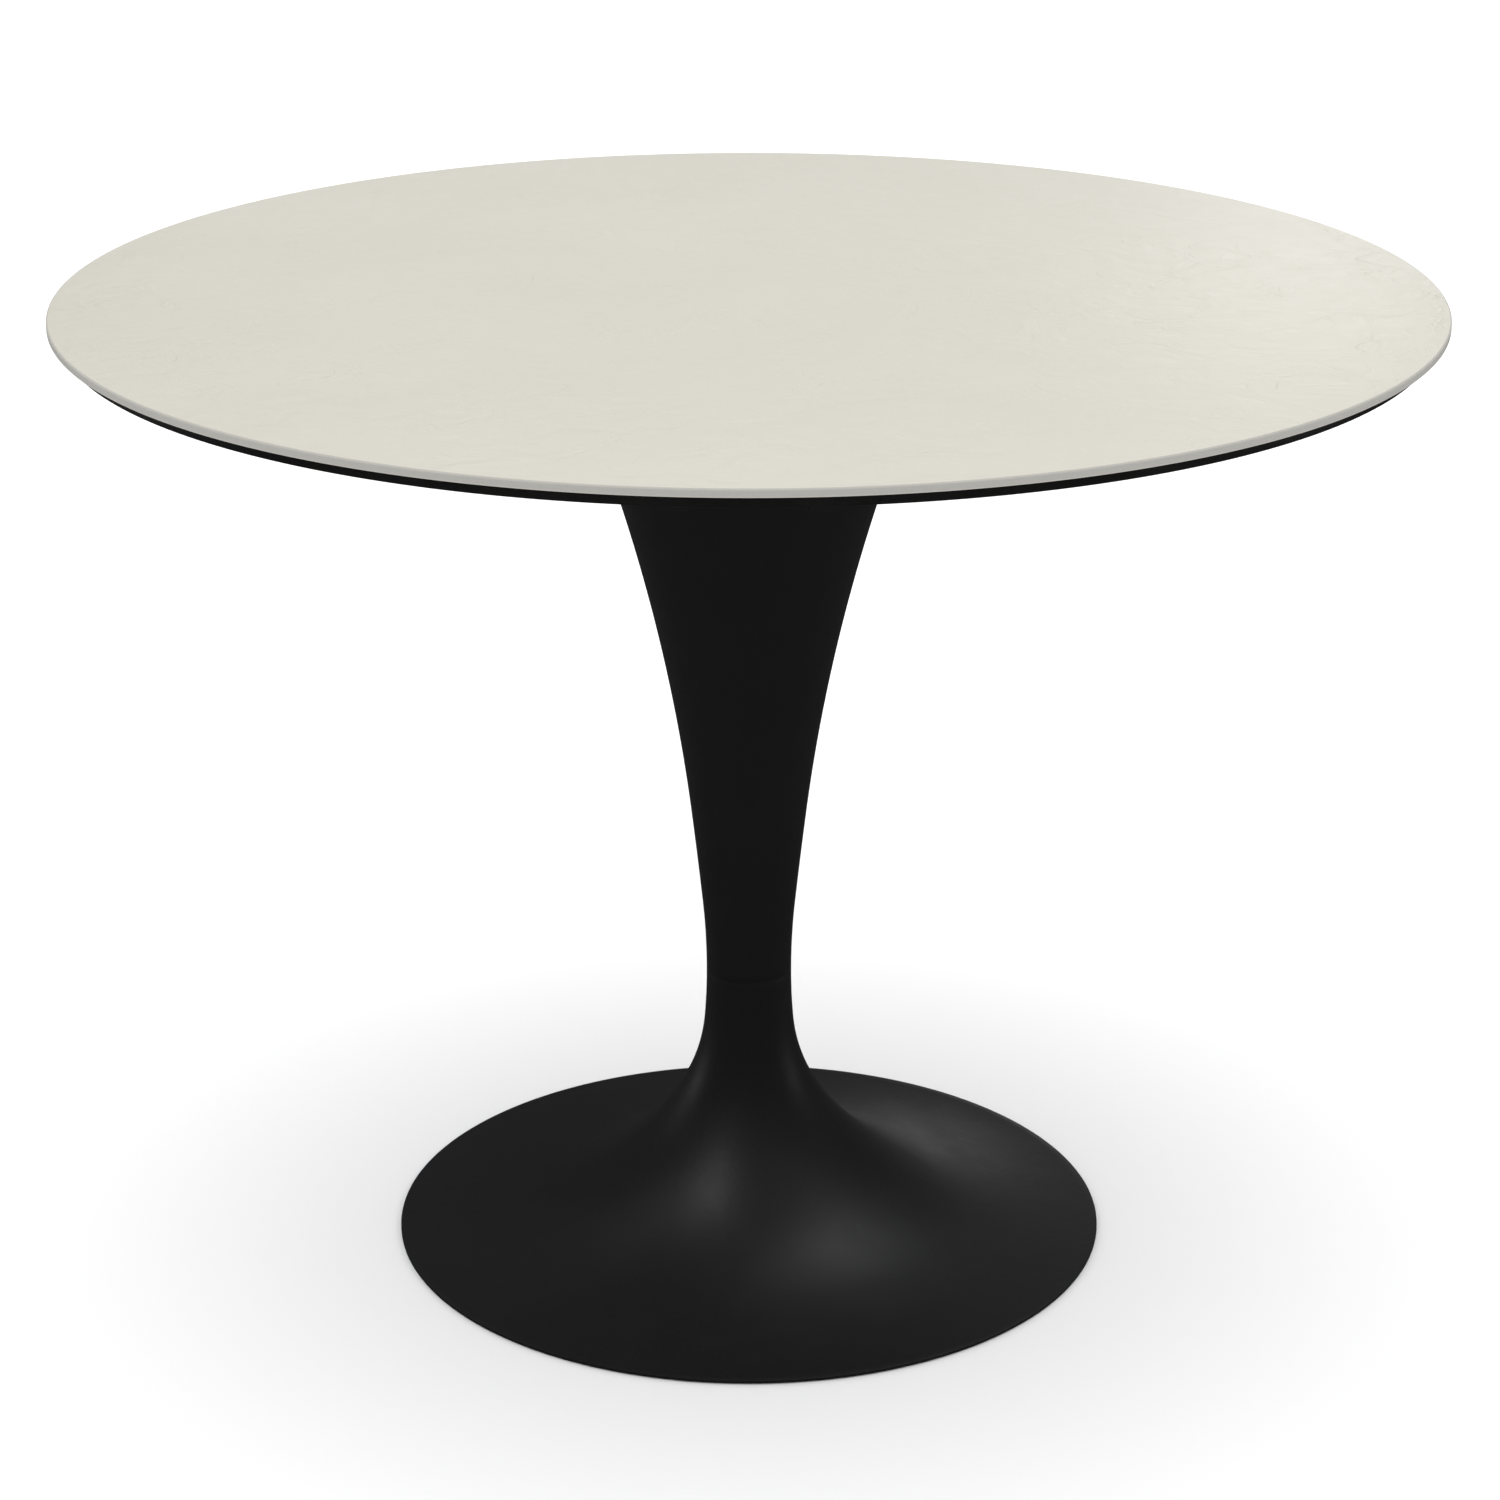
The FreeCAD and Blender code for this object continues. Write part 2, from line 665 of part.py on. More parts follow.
def rail_rivet_nuts():
    """Four flush rivet nuts in the lower walls of the rails, over the plate."""
    body = new_body("rail_rivet_nuts")
    path = hoop("bolt_radius + thread_fit", "rivet_radius", "rail_bottom", "rivet_top",
                "rail_offset")
    nut = turn(body, "Nut", path, "rail_offset", "bolt_spread")
    repeat_square(body, [nut])
    return body


# ------------------------------------------------------- plate and column

def top_plate():
    """Steel disc that sits on the column's mouth, with a spigot that centres it there."""
    body = new_body("top_plate")
    turn(body, "Disc", [
        ("rod_hole_radius", "plate_bottom"),
        ("spigot_radius", "plate_bottom"),
        ("spigot_radius", "column_top"),
        ("plate_radius", "column_top"),
        ("plate_radius", "rail_bottom"),
        ("rod_hole_radius", "rail_bottom"),
    ])
    sketch = new_sketch(body, "BoltHoles", "XY_Plane", "plate_bottom")
    draw_circle(sketch, "rail_offset", "bolt_spread", "bolt_hole_radius")
    hole = cut_up(body, "BoltHole", sketch, "plate_spigot + plate_thickness")
    repeat_square(body, [hole])
    return body


def plate_bolts():
    """Four button-head bolts from inside the mouth, up into the rivet nuts."""
    body = new_body("plate_bolts")
    path = bolt_outline("bolt_head_radius", "bolt_radius", "bolt_head_bottom",
                        "bolt_washer_bottom", "rivet_top", "rail_offset")
    bolt = turn(body, "Bolt", path, "rail_offset", "bolt_spread")
    key = new_sketch(body, "Key", "XY_Plane", "bolt_head_bottom")
    draw_hexagon(key, "rail_offset", "bolt_spread", "bolt_socket_flats")
    socket = cut_up(body, "Socket", key, "bolt_socket_depth")
    repeat_square(body, [bolt, socket])
    return body


def plate_washers():
    """A washer under each plate bolt's head."""
    body = new_body("plate_washers")
    path = hoop("bolt_hole_radius", "washer_radius", "bolt_washer_bottom", "plate_bottom",
                "rail_offset")
    washer = turn(body, "Washer", path, "rail_offset", "bolt_spread")
    repeat_square(body, [washer])
    return body


def column():
    """Trumpet-shaped casting: waist at its foot, nearly straight stem, then a wide bell."""
    body = new_body("column")
    turn(body, "Wall", [
        ("seat_radius", "neck_height"),
        ("neck_radius", "neck_height"),
        ("waist_radius", "waist_height", "waist_curve", -1),
        ("stem_radius", "stem_height", "stem_curve", -1),
        ("mouth_radius", "column_top", "bell_curve", -1),
        ("bore_top_radius", "column_top"),
        ("bore_stem_radius", "bore_stem_height", "bell_curve + column_wall", 1),
        ("bore_waist_radius", "bore_waist_height", "stem_curve + column_wall", 1),
        ("bore_seat_radius", "seat_top", "waist_curve + column_wall", 1),
        ("seat_radius", "seat_top"),
    ])
    return body


# ------------------------------------------------------------------- foot

def foot_block():
    """Outside of the foot as a solid, with the recess for its standing ring."""
    body = new_body("FootBlock")
    turn(body, "Block", [
        ("0", "neck_height"),
        ("neck_radius", "neck_height"),
        ("ankle_radius", "ankle_height", "ankle_curve", 1),
        ("instep_radius", "instep_height", "instep_curve", 1),
        ("flare_radius", "flare_height", "flare_curve", 1),
        ("foot_radius", "rim_height", "apron_curve", 1),
        ("foot_radius", "foot_clearance"),
        ("ring_outer + ring_fit", "foot_clearance"),
        ("ring_outer + ring_fit", "ring_top"),
        ("ring_inner - ring_fit", "ring_top"),
        ("ring_inner - ring_fit", "foot_clearance"),
        ("0", "foot_clearance"),
    ])
    return body


def foot_hollow():
    """Space inside the foot: open below, with the rod's hole and the sleeve's seat above."""
    body = new_body("FootHollow")
    turn(body, "Hollow", [
        ("0", "0"),
        ("cave_edge_radius", "0"),
        ("cave_edge_radius", "foot_clearance"),
        ("cave_flare_radius", "cave_flare_height", "cave_apron_curve", -1),
        ("cave_instep_radius", "cave_instep_height", "cave_flare_curve", -1),
        ("cave_top_radius", "diaphragm_bottom", "cave_instep_curve", -1),
        ("rod_hole_radius", "diaphragm_bottom"),
        ("rod_hole_radius", "seat_bottom"),
        ("seat_radius", "seat_bottom"),
        ("seat_radius", "neck_height + foot_clearance"),
        ("0", "neck_height + foot_clearance"),
    ])
    return body


def foot():
    """Trumpet foot casting with bosses inside for the ballast bolts and the glides."""
    bolt_bosses = cylinders_round("BoltBosses", "ballast_bolt_circle", "boss_radius",
                                  "ballast_top", "instep_height", "ballast_bolt_count",
                                  BALLAST_BOLT_START)
    bolt_holes = cylinders_round("BoltHoles", "ballast_bolt_circle", "bolt_radius + thread_fit",
                                 "ballast_top", "ballast_hole_top", "ballast_bolt_count",
                                 BALLAST_BOLT_START)
    glide_bosses = cylinders_round("GlideBosses", "glide_circle", "glide_boss_radius",
                                   "glide_boss_bottom", "instep_height", "glide_count",
                                   GLIDE_START)
    glide_holes = cylinders_round("GlideHoles", "glide_circle", "stud_radius + thread_fit",
                                  "glide_boss_bottom", "glide_hole_top", "glide_count",
                                  GLIDE_START)
    hollow = cut_part("HollowPastBolts", foot_hollow(), bolt_bosses)
    hollow = cut_part("HollowPastGlides", hollow, glide_bosses)
    shell = cut_part("FootShell", foot_block(), hollow)
    shell = cut_part("FootTapped", shell, bolt_holes)
    return cut_part("foot", shell, glide_holes)


def neck_sleeve():
    """Steel sleeve, half in the foot and half in the column, that lines them up."""
    body = new_body("neck_sleeve")
    turn(body, "Sleeve", hoop("sleeve_radius - sleeve_wall", "sleeve_radius", "sleeve_bottom",
                              "neck_height + sleeve_half_length"))
    return body


def tie_rod():
    """Threaded rod that pulls foot, column and plate together."""
    body = new_body("tie_rod")
    turn(body, "Rod", [
        ("0", "rod_bottom"),
        ("rod_radius - rod_chamfer", "rod_bottom"),
        ("rod_radius", "rod_bottom + rod_chamfer"),
        ("rod_radius", "rod_top - rod_chamfer"),
        ("rod_radius - rod_chamfer", "rod_top"),
        ("0", "rod_top"),
    ])
    return body


def rod_nut(label, low):
    """Hexagon nut on the rod."""
    body = new_body(label)
    sketch = new_sketch(body, "Plan", "XY_Plane", low)
    draw_hexagon(sketch, "0", "0", "nut_flats")
    draw_circle(sketch, "0", "0", "rod_radius + thread_fit")
    raise_pad(body, "Nut", sketch, "nut_height")
    return body


def rod_washer():
    """Wide washer between the lower nut and the foot's diaphragm."""
    body = new_body("rod_washer")
    turn(body, "Washer", hoop("rod_hole_radius", "rod_washer_radius",
                              "diaphragm_bottom - rod_washer_thickness", "diaphragm_bottom"))
    return body


def ballast_disc():
    """Iron weight under the foot, counterbored for its three bolts."""
    body = new_body("ballast_disc")
    turn(body, "Disc", hoop("ballast_hole_radius", "ballast_radius", "ballast_lift",
                            "ballast_top"))
    hole = new_sketch(body, "BoltHole", "XY_Plane", "ballast_lift")
    draw_circle(hole, "ballast_bolt_circle", "0", "bolt_hole_radius")
    through = cut_up(body, "Through", hole, "ballast_thickness")
    recess = new_sketch(body, "HeadRecess", "XY_Plane", "ballast_lift")
    draw_circle(recess, "ballast_bolt_circle", "0", "bolt_head_radius + counterbore_gap")
    counterbore = cut_up(body, "Counterbore", recess, "bolt_head_height + counterbore_gap")
    repeat_round(body, [through, counterbore], "ballast_bolt_count")
    body.Placement = turned_placement(BALLAST_BOLT_START)
    return body


def ballast_bolts():
    """Three bolts that hold the weight up against the foot's bosses."""
    body = new_body("ballast_bolts")
    path = bolt_outline("bolt_head_radius", "bolt_radius", "ballast_bolt_bottom",
                        "ballast_bolt_bottom + bolt_head_height",
                        "ballast_top + ballast_bolt_engaged", "ballast_bolt_circle")
    bolt = turn(body, "Bolt", path, "ballast_bolt_circle")
    key = new_sketch(body, "Key", "XY_Plane", "ballast_bolt_bottom")
    draw_hexagon(key, "ballast_bolt_circle", "0", "bolt_socket_flats")
    socket = cut_up(body, "Socket", key, "bolt_socket_depth")
    repeat_round(body, [bolt, socket], "ballast_bolt_count")
    body.Placement = turned_placement(BALLAST_BOLT_START)
    return body


def floor_ring():
    """Rubber ring that the table stands on, bonded into the foot's recess."""
    body = new_body("floor_ring")
    turn(body, "Ring", hoop("ring_inner", "ring_outer", "0", "ring_top"))
    return body


# ----------------------------------------------------------------- glides

def glide_pad(number, angle):
    """Nylon pad of one levelling glide, with a socket for the stud's head."""
    body = new_body(f"glide_pad_{number}")
    socket = "glide_circle + stud_head_radius + swivel_fit"
    turn(body, "Pad", [
        ("glide_circle", "glide_lift"),
        ("glide_circle + pad_radius - pad_chamfer", "glide_lift"),
        ("glide_circle + pad_radius", "glide_lift + pad_chamfer"),
        ("glide_circle + pad_radius", "pad_top"),
        (socket, "pad_top"),
        (socket, "socket_bottom"),
        ("glide_circle", "socket_bottom"),
    ], "glide_circle")
    body.Placement = turned_placement(angle)
    return body


def glide_stud(number, angle):
    """Stud of one levelling glide: swivel head, hexagon collar and thread."""
    body = new_body(f"glide_stud_{number}")
    turn(body, "Stud", [
        ("glide_circle", "socket_bottom + swivel_fit"),
        ("glide_circle + stud_head_radius", "socket_bottom + swivel_fit"),
        ("glide_circle + stud_head_radius", "collar_top"),
        ("glide_circle + stud_radius", "collar_top"),
        ("glide_circle + stud_radius", "stud_top"),
        ("glide_circle", "stud_top"),
    ], "glide_circle")
    flats = new_sketch(body, "Flats", "XY_Plane", "collar_bottom")
    draw_hexagon(flats, "glide_circle", "0", "collar_flats")
    raise_pad(body, "Collar", flats, "collar_height")
    body.Placement = turned_placement(angle)
    return body


def glides():
    """Every glide's pad and stud, each at its own angle round the foot."""
    pieces = []
    for number in range(1, GLIDE_COUNT + 1):
        angle = GLIDE_START + WHOLE_TURN / GLIDE_COUNT * (number - 1)
        pieces.append(glide_pad(number, angle))
        pieces.append(glide_stud(number, angle))
    return pieces


def build():
    """Make every piece of the table, from the top down."""
    return [
        ceramic_top(),
        bond_layer(),
        support_panel(),
        panel_inserts(),
        rail("rail_right", 0),
        rail("rail_left", WHOLE_TURN / 2),
        rail_end_caps(),
        rail_screws(),
        rail_rivet_nuts(),
        top_plate(),
        plate_bolts(),
        plate_washers(),
        column(),
        neck_sleeve(),
        tie_rod(),
        rod_nut("rod_nut_upper", "rail_bottom"),
        rod_nut("rod_nut_lower", "rod_nut_bottom"),
        rod_washer(),
        foot(),
        ballast_disc(),
        ballast_bolts(),
        floor_ring(),
    ] + glides()


def check(pieces):
    """Stop if any object failed or any piece is empty or not valid."""
    for item in doc.Objects:
        if any(state in ("Invalid", "Error") for state in item.State):
            raise RuntimeError(f"{item.Label} is {item.State}")
    for piece in pieces:
        if piece.Shape.isNull() or not piece.Shape.isValid() or not piece.Shape.Solids:
            raise RuntimeError(f"{piece.Label} is not a valid solid")


def write(pieces):
    os.makedirs("parts", exist_ok=True)
    for piece in pieces:
        piece.Shape.exportStep(f"parts/{piece.Label}.step")
        print(f"{piece.Label:18s} solids {len(piece.Shape.Solids)}"
              f"  volume {piece.Shape.Volume / 1000:9.2f} cm3")


sheet = fill_sheet()
worked = work_out()
pieces = build()
doc.recompute()
check(pieces)
write(pieces)
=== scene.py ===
import math

import bpy
from bpy.props import FloatProperty, FloatVectorProperty, IntProperty, PointerProperty
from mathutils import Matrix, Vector


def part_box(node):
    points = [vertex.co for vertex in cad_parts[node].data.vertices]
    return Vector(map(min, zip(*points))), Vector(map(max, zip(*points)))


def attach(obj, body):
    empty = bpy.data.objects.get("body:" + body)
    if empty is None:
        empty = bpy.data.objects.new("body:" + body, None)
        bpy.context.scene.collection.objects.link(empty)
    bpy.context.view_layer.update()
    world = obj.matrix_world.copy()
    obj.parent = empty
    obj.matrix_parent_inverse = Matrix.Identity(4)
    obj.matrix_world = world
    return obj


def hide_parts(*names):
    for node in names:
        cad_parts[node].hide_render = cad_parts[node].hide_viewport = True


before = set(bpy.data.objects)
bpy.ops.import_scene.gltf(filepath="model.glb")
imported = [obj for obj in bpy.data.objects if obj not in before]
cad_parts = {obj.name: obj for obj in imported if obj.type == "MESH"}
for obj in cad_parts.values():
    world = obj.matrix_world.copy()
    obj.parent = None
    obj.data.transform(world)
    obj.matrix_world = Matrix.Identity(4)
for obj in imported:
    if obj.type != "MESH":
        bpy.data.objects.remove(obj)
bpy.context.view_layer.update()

bl_info = {
    "name": "Round pedestal table",
    "version": (1, 0, 0),
    "blender": (4, 5, 0),
    "location": "View3D > Sidebar > Table",
    "description": "Builds the visible pieces and finishes of a round pedestal table",
    "category": "Object",
}

MM = 0.001
TABLE = "table"
GLIDE_NUMBERS = (1, 2, 3, 4)
FIRST_GLIDE = 45
BALLAST_BOLTS = 3
FIRST_BALLAST_BOLT = 90

# Steps round screws, bosses and holes, and the gap under which points are merged.
PIN_STEPS = 40
MERGE = 1e-6

# Most that a face leans from level on the slab's face, and on its arris.
FACE_LEAN = 12
ARRIS_LEAN = 80

# Share of a screw head's radius that is flat, and of its height that is domed.
HEAD_FLAT = 0.58
HEAD_DOME = 0.8

# A Mix node has sockets of the same name for each kind of data. These are the colour ones.
MIX_FIRST = 6
MIX_SECOND = 7
MIX_RESULT = 2


def low(node):
    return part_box(node)[0]


def high(node):
    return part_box(node)[1]


def length(name, default, text):
    return FloatProperty(name=name, description=text, default=default, unit="LENGTH", precision=5)


def angle(name, degrees, text):
    return FloatProperty(name=name, description=text, default=math.radians(degrees), subtype="ANGLE")


def colour(name, default, text):
    return FloatVectorProperty(name=name, description=text, default=default, size=3, min=0, max=1,
                               subtype="COLOR")


def share(name, default, text):
    return FloatProperty(name=name, description=text, default=default, min=0, max=1,
                         subtype="FACTOR")


# ------------------------------------------------------------------- sizes

class TopSizes(bpy.types.PropertyGroup):
    """Sizes of the slab and of the panel under it."""
    slab_arris: length("Slab arris", 1.1 * MM, "Width of the softened edge of the slab")
    panel_edge: length("Panel edge", 8.1 * MM, "Height of the panel's upright edge")
    panel_bevel: length("Panel bevel", 53.4 * MM, "Width of the bevel under the panel's rim")
    panel_round: length("Panel rounding", 0.6 * MM, "Rounding of the panel's corners")
    segments: IntProperty(name="Round steps", description="Steps round each turned piece",
                          default=288, min=48, max=512)


class PedestalSizes(bpy.types.PropertyGroup):
    """Curves of the column and of the foot, named from the neck outwards."""
    wall: length("Wall", 5 * MM, "Thickness of both castings")
    neck: length("Neck radius", 32.34 * MM, "Outer radius at the joint between column and foot")
    seat: length("Seat radius", 26 * MM, "Bore that holds the locating sleeve")
    seat_depth: length("Seat depth", 40.2 * MM, "Depth of that bore in each casting")
    diaphragm: length("Diaphragm", 12 * MM, "Thickness of the wall that takes the rod's pull")
    rod_hole: length("Rod hole", 6.6 * MM, "Radius of the rod's hole through the diaphragm")
    waist_curve: length("Waist curve", 540 * MM, "Radius of the column's lowest curve")
    waist_angle: angle("Waist angle", 5.98, "Lean of the column where the waist ends")
    stem_curve: length("Stem curve", 4.916, "Radius of the column's nearly straight part")
    stem_angle: angle("Stem angle", 6.83, "Lean of the column where the bell starts")
    ankle_curve: length("Ankle curve", 478 * MM, "Radius of the foot's highest curve")
    ankle_angle: angle("Ankle angle", 4.79, "Lean of the foot where the ankle ends")
    instep_curve: length("Instep curve", 136 * MM, "Radius of the curve below the ankle")
    instep_angle: angle("Instep angle", 31, "Lean of the foot where the flare starts")
    flare_angle: angle("Flare angle", 75, "Lean of the foot where the apron starts")
    rim_angle: angle("Rim angle", 87.7, "Lean of the foot at its rim")
    rim_height: length("Rim height", 3 * MM, "Height of the rim's upper edge over the floor")
    ring_fit: length("Ring fit", 0.1 * MM, "Gap between the standing ring and its recess")
    ring_width: length("Ring width", 11 * MM, "Width of the standing ring")
    ring_round: length("Ring rounding", 0.35 * MM, "Rounding of the standing ring's edges")
    bolt_boss: length("Bolt boss", 11 * MM, "Radius of the bosses for the ballast bolts")
    glide_boss: length("Glide boss", 9 * MM, "Radius of the bosses for the glides")
    thread_fit: length("Thread fit", 0.05 * MM, "Gap round a thread in its boss")
    edge: length("Edge", 0.12 * MM, "Softening of the castings' edges")


class HardwareSizes(bpy.types.PropertyGroup):
    """Sizes of the fasteners and glides."""
    rail_screw: length("Rail screw", 3 * MM, "Radius of a rail screw's thread")
    rail_screw_first: length("First rail screw", 180 * MM, "Its distance from the middle")
    rail_screw_head: length("Rail screw head", 6 * MM, "Radius of a rail screw's head")
    rail_screw_key: length("Rail screw key", 4 * MM, "Width of its socket across flats")
    rail_screw_rise: length("Rail screw rise", 3.4 * MM, "Height of a rail screw's head")
    bolt: length("Bolt", 4 * MM, "Radius of the threads of the plate and ballast bolts")
    bolt_head: length("Bolt head", 7 * MM, "Radius of a bolt's head")
    bolt_key: length("Bolt key", 5 * MM, "Width of a bolt's socket across flats")
    bolt_rise: length("Bolt rise", 4.4 * MM, "Height of a bolt's head")
    bolt_hole_gap: length("Bolt hole gap", 1.5 * MM, "Room past a ballast bolt's end")
    key_depth: length("Key depth", 2.2 * MM, "Depth of the hexagon sockets")
    pitch: length("Thread pitch", 1.25 * MM, "Pitch of the glides' threads")
    thread_depth: length("Thread depth", 0.5 * MM, "Depth of the glides' threads")
    stud: length("Glide stud", 4 * MM, "Radius of a glide's thread")
    plate_washer: length("Plate washer", 8 * MM, "Radius of the plate bolts' washers")
    stud_engaged: length("Stud engaged", 11 * MM, "Length of a glide's thread in its boss")
    stud_hole_gap: length("Stud hole gap", 0.4 * MM, "Room past a glide's end")
    collar_flats: length("Collar", 13 * MM, "Width of a glide's collar across its flats")
    collar: length("Collar height", 2 * MM, "Height of a glide's collar")
    stud_head: length("Stud head", 6 * MM, "Radius of the stud's head, held in the pad")
    pad_socket: length("Pad socket", 6.08 * MM, "Radius of the socket in a glide's pad")
    pad_depth: length("Pad socket depth", 1.5 * MM, "Depth of the socket in a glide's pad")
    pad_chamfer: length("Pad chamfer", 0.8 * MM, "Chamfer of a glide's pad")
    edge: length("Edge", 0.2 * MM, "Softening of the hardware's edges")


class Finishes(bpy.types.PropertyGroup):
    """Colours and gloss of the visible finishes."""
    slab: colour("Slab", (0.550, 0.530, 0.464), "Fired colour of the slab's face")
    slab_pale: colour("Slab, paler", (0.570, 0.552, 0.488), "Paler clouds in the slab's face")
    slab_edge: colour("Slab edge", (0.40, 0.39, 0.365), "Ground edge of the slab")
    # Painted light: the honed arris is given a paler tone than the edge, so that the corner shows as
    # a lit strip.
    slab_arris: colour("Slab arris", (0.46, 0.445, 0.41), "Honed corner of the slab, painted paler as painted light")
    coat: colour("Powder coat", (0.0060, 0.0060, 0.0062), "Black powder coat")
    # Painted light and wear: this paler coat colour is painted on faces that look up, as if lit from
    # above, and on rubbed patches.
    coat_worn: colour("Powder coat, rubbed and lit", (0.0082, 0.0082, 0.0085), "Coat where it is rubbed, and painted lighter where it faces up")
    dust: colour("Dust", (0.024, 0.024, 0.024), "Specks of dust on the powder coat")
    lacquer: colour("Lacquer", (0.0050, 0.0049, 0.0048), "Black lacquer of the panel")
    slab_gloss: share("Slab roughness", 0.46, "Roughness of the slab's face")
    coat_gloss: share("Coat roughness", 0.44, "Roughness of the powder coat")


SIZES = {"top": TopSizes, "pedestal": PedestalSizes, "hardware": HardwareSizes,
         "finishes": Finishes}


def sizes(group):
    return getattr(bpy.context.scene, "table_" + group)


# --------------------------------------------------------------- materials

class Value:
    """One shader socket. Arithmetic on it adds Math nodes."""

    def __init__(self, finish, socket):
        self.finish = finish
        self.socket = socket

    def _math(self, operation, *values):
        inputs = dict(enumerate(values))
        return self.finish.node("Math", {"operation": operation}, inputs)["Value"]

    def __add__(self, other):
        return self._math("ADD", self, other)

    def __sub__(self, other):
        return self._math("SUBTRACT", self, other)

    def __rsub__(self, other):
        return self._math("SUBTRACT", other, self)

    def __mul__(self, other):
        return self._math("MULTIPLY", self, other)

    def __abs__(self):
        return self._math("ABSOLUTE", self)

    def clipped(self, start, stop):
        """0 below start, 1 above stop, and even in between."""
        settings = {"interpolation_type": "SMOOTHSTEP"}
        inputs = {"Value": self, "From Min": start, "From Max": stop}
        return self.finish.node("MapRange", settings, inputs)["Result"]

    __radd__ = __add__
    __rmul__ = __mul__


class Outputs:
    """The outputs of one node, by name or number."""

    def __init__(self, finish, node):
        self.finish = finish
        self.node = node

    def __getitem__(self, name):
        return Value(self.finish, self.node.outputs[name])


def with_alpha(colour_or_value):
    if isinstance(colour_or_value, Value):
        return colour_or_value
    return (*colour_or_value, 1)


class Finish:
    """A material on one Principled surface, with helpers that add its nodes."""

    def __init__(self, name, roughness=0.5, metallic=0.0, specular=0.5):
        self.material = bpy.data.materials.new(name)
        self.material.use_nodes = True
        self.tree = self.material.node_tree
        self.surface = self.tree.nodes["Principled BSDF"]
        self.surface.inputs["Roughness"].default_value = roughness
        self.surface.inputs["Metallic"].default_value = metallic
        self.surface.inputs["Specular IOR Level"].default_value = specular
        self.place = self.node("TexCoord")["Object"]

    def node(self, kind, settings=None, inputs=None):
        """Add a node: its settings first, then what its sockets hold or are linked to."""
        node = self.tree.nodes.new("ShaderNode" + kind)
        for key, value in (settings or {}).items():
            setattr(node, key, value)
        for key, value in (inputs or {}).items():
            self.feed(node.inputs[key], value)
        return Outputs(self, node)

    def feed(self, socket, value):
        if isinstance(value, Value):
            self.tree.links.new(value.socket, socket)
        else:
            socket.default_value = value

    def stretched(self, x, y, z):
        """Object coordinates, scaled along each axis."""
        return self.node("Mapping", None, {"Vector": self.place, "Scale": (x, y, z)})["Vector"]

    def noise(self, per_metre, detail=2.0, rough=0.5, swirl=0.0, where=None):
        inputs = {"Vector": where or self.place, "Scale": per_metre, "Detail": detail,
                  "Roughness": rough, "Distortion": swirl}
        return self.node("TexNoise", None, inputs)["Fac"]

    def cells(self, per_metre):
        """Distance from the nearest of many scattered points."""
        return self.node("TexVoronoi", None, {"Vector": self.place, "Scale": per_metre})["Distance"]

    def blend(self, amount, first, second):
        """First colour where the amount is 0, and second colour where it is 1."""
        inputs = {"Factor": amount, MIX_FIRST: with_alpha(first), MIX_SECOND: with_alpha(second)}
        return self.node("Mix", {"data_type": "RGBA"}, inputs)[MIX_RESULT]

    def colour(self, value):
        self.feed(self.surface.inputs["Base Color"], value)

    def roughness(self, value):
        self.feed(self.surface.inputs["Roughness"], value)

    def bump(self, height, depth):
        """Let a height between 0 and 1 shape the surface by depth, in metres."""
        normal = self.node("Bump", None, {"Height": height, "Distance": depth})["Normal"]
        self.feed(self.surface.inputs["Normal"], normal)


def slab_face():
    """Fired stoneware face: soft clouds, fine grain and a shallow pressed relief."""
    f = sizes("finishes")
    finish = Finish("slab_face", f.slab_gloss, specular=0.42)
    clouds = finish.noise(5.5, detail=4.0, rough=0.55, swirl=0.6).clipped(0.30, 0.72)
    grain = finish.noise(900, detail=2.0, rough=0.6)
    finish.colour(finish.blend(clouds * 0.55 + grain * 0.3, f.slab, f.slab_pale))
    pressed = finish.noise(24, detail=4.0, rough=0.5, swirl=1.3)
    creases = 1.0 - abs(pressed * 2.0 - 1.0).clipped(0.0, 0.10)
    patches = finish.noise(14.0, detail=2.0, rough=0.5).clipped(0.42, 0.66)
    grit = finish.noise(260, detail=4.0, rough=0.6)
    finish.bump(pressed * 0.8 + creases * patches * 0.10 + grit * 0.07, 2.0 * MM)
    finish.roughness(finish.noise(60, detail=3.0) * 0.10 + (f.slab_gloss - 0.05))
    return finish.material


def ground(name, tone, roughness):
    """Ground stoneware: fine lines along the edge and small dark specks."""
    finish = Finish(name, roughness, specular=0.3)
    lines = finish.noise(90, detail=3.0, rough=0.6, where=finish.stretched(1, 1, 26))
    speckle = finish.noise(1500, detail=2.0).clipped(0.42, 0.66)
    darker = [part * 0.82 for part in tone]
    finish.colour(finish.blend(lines * 0.5 + speckle * 0.3, darker, tone))
    finish.bump(lines + speckle * 0.5, 0.05 * MM)
    finish.roughness(lines * 0.15 + (roughness - 0.08))
    return finish.material


def slab_edge():
    return ground("slab_edge", sizes("finishes").slab_edge, 0.6)


def slab_arris():
    # Painted light: the edge's ground finish in a paler tone, which stands in for the light that the
    # honed arris catches.
    return ground("slab_arris", sizes("finishes").slab_arris, 0.75)


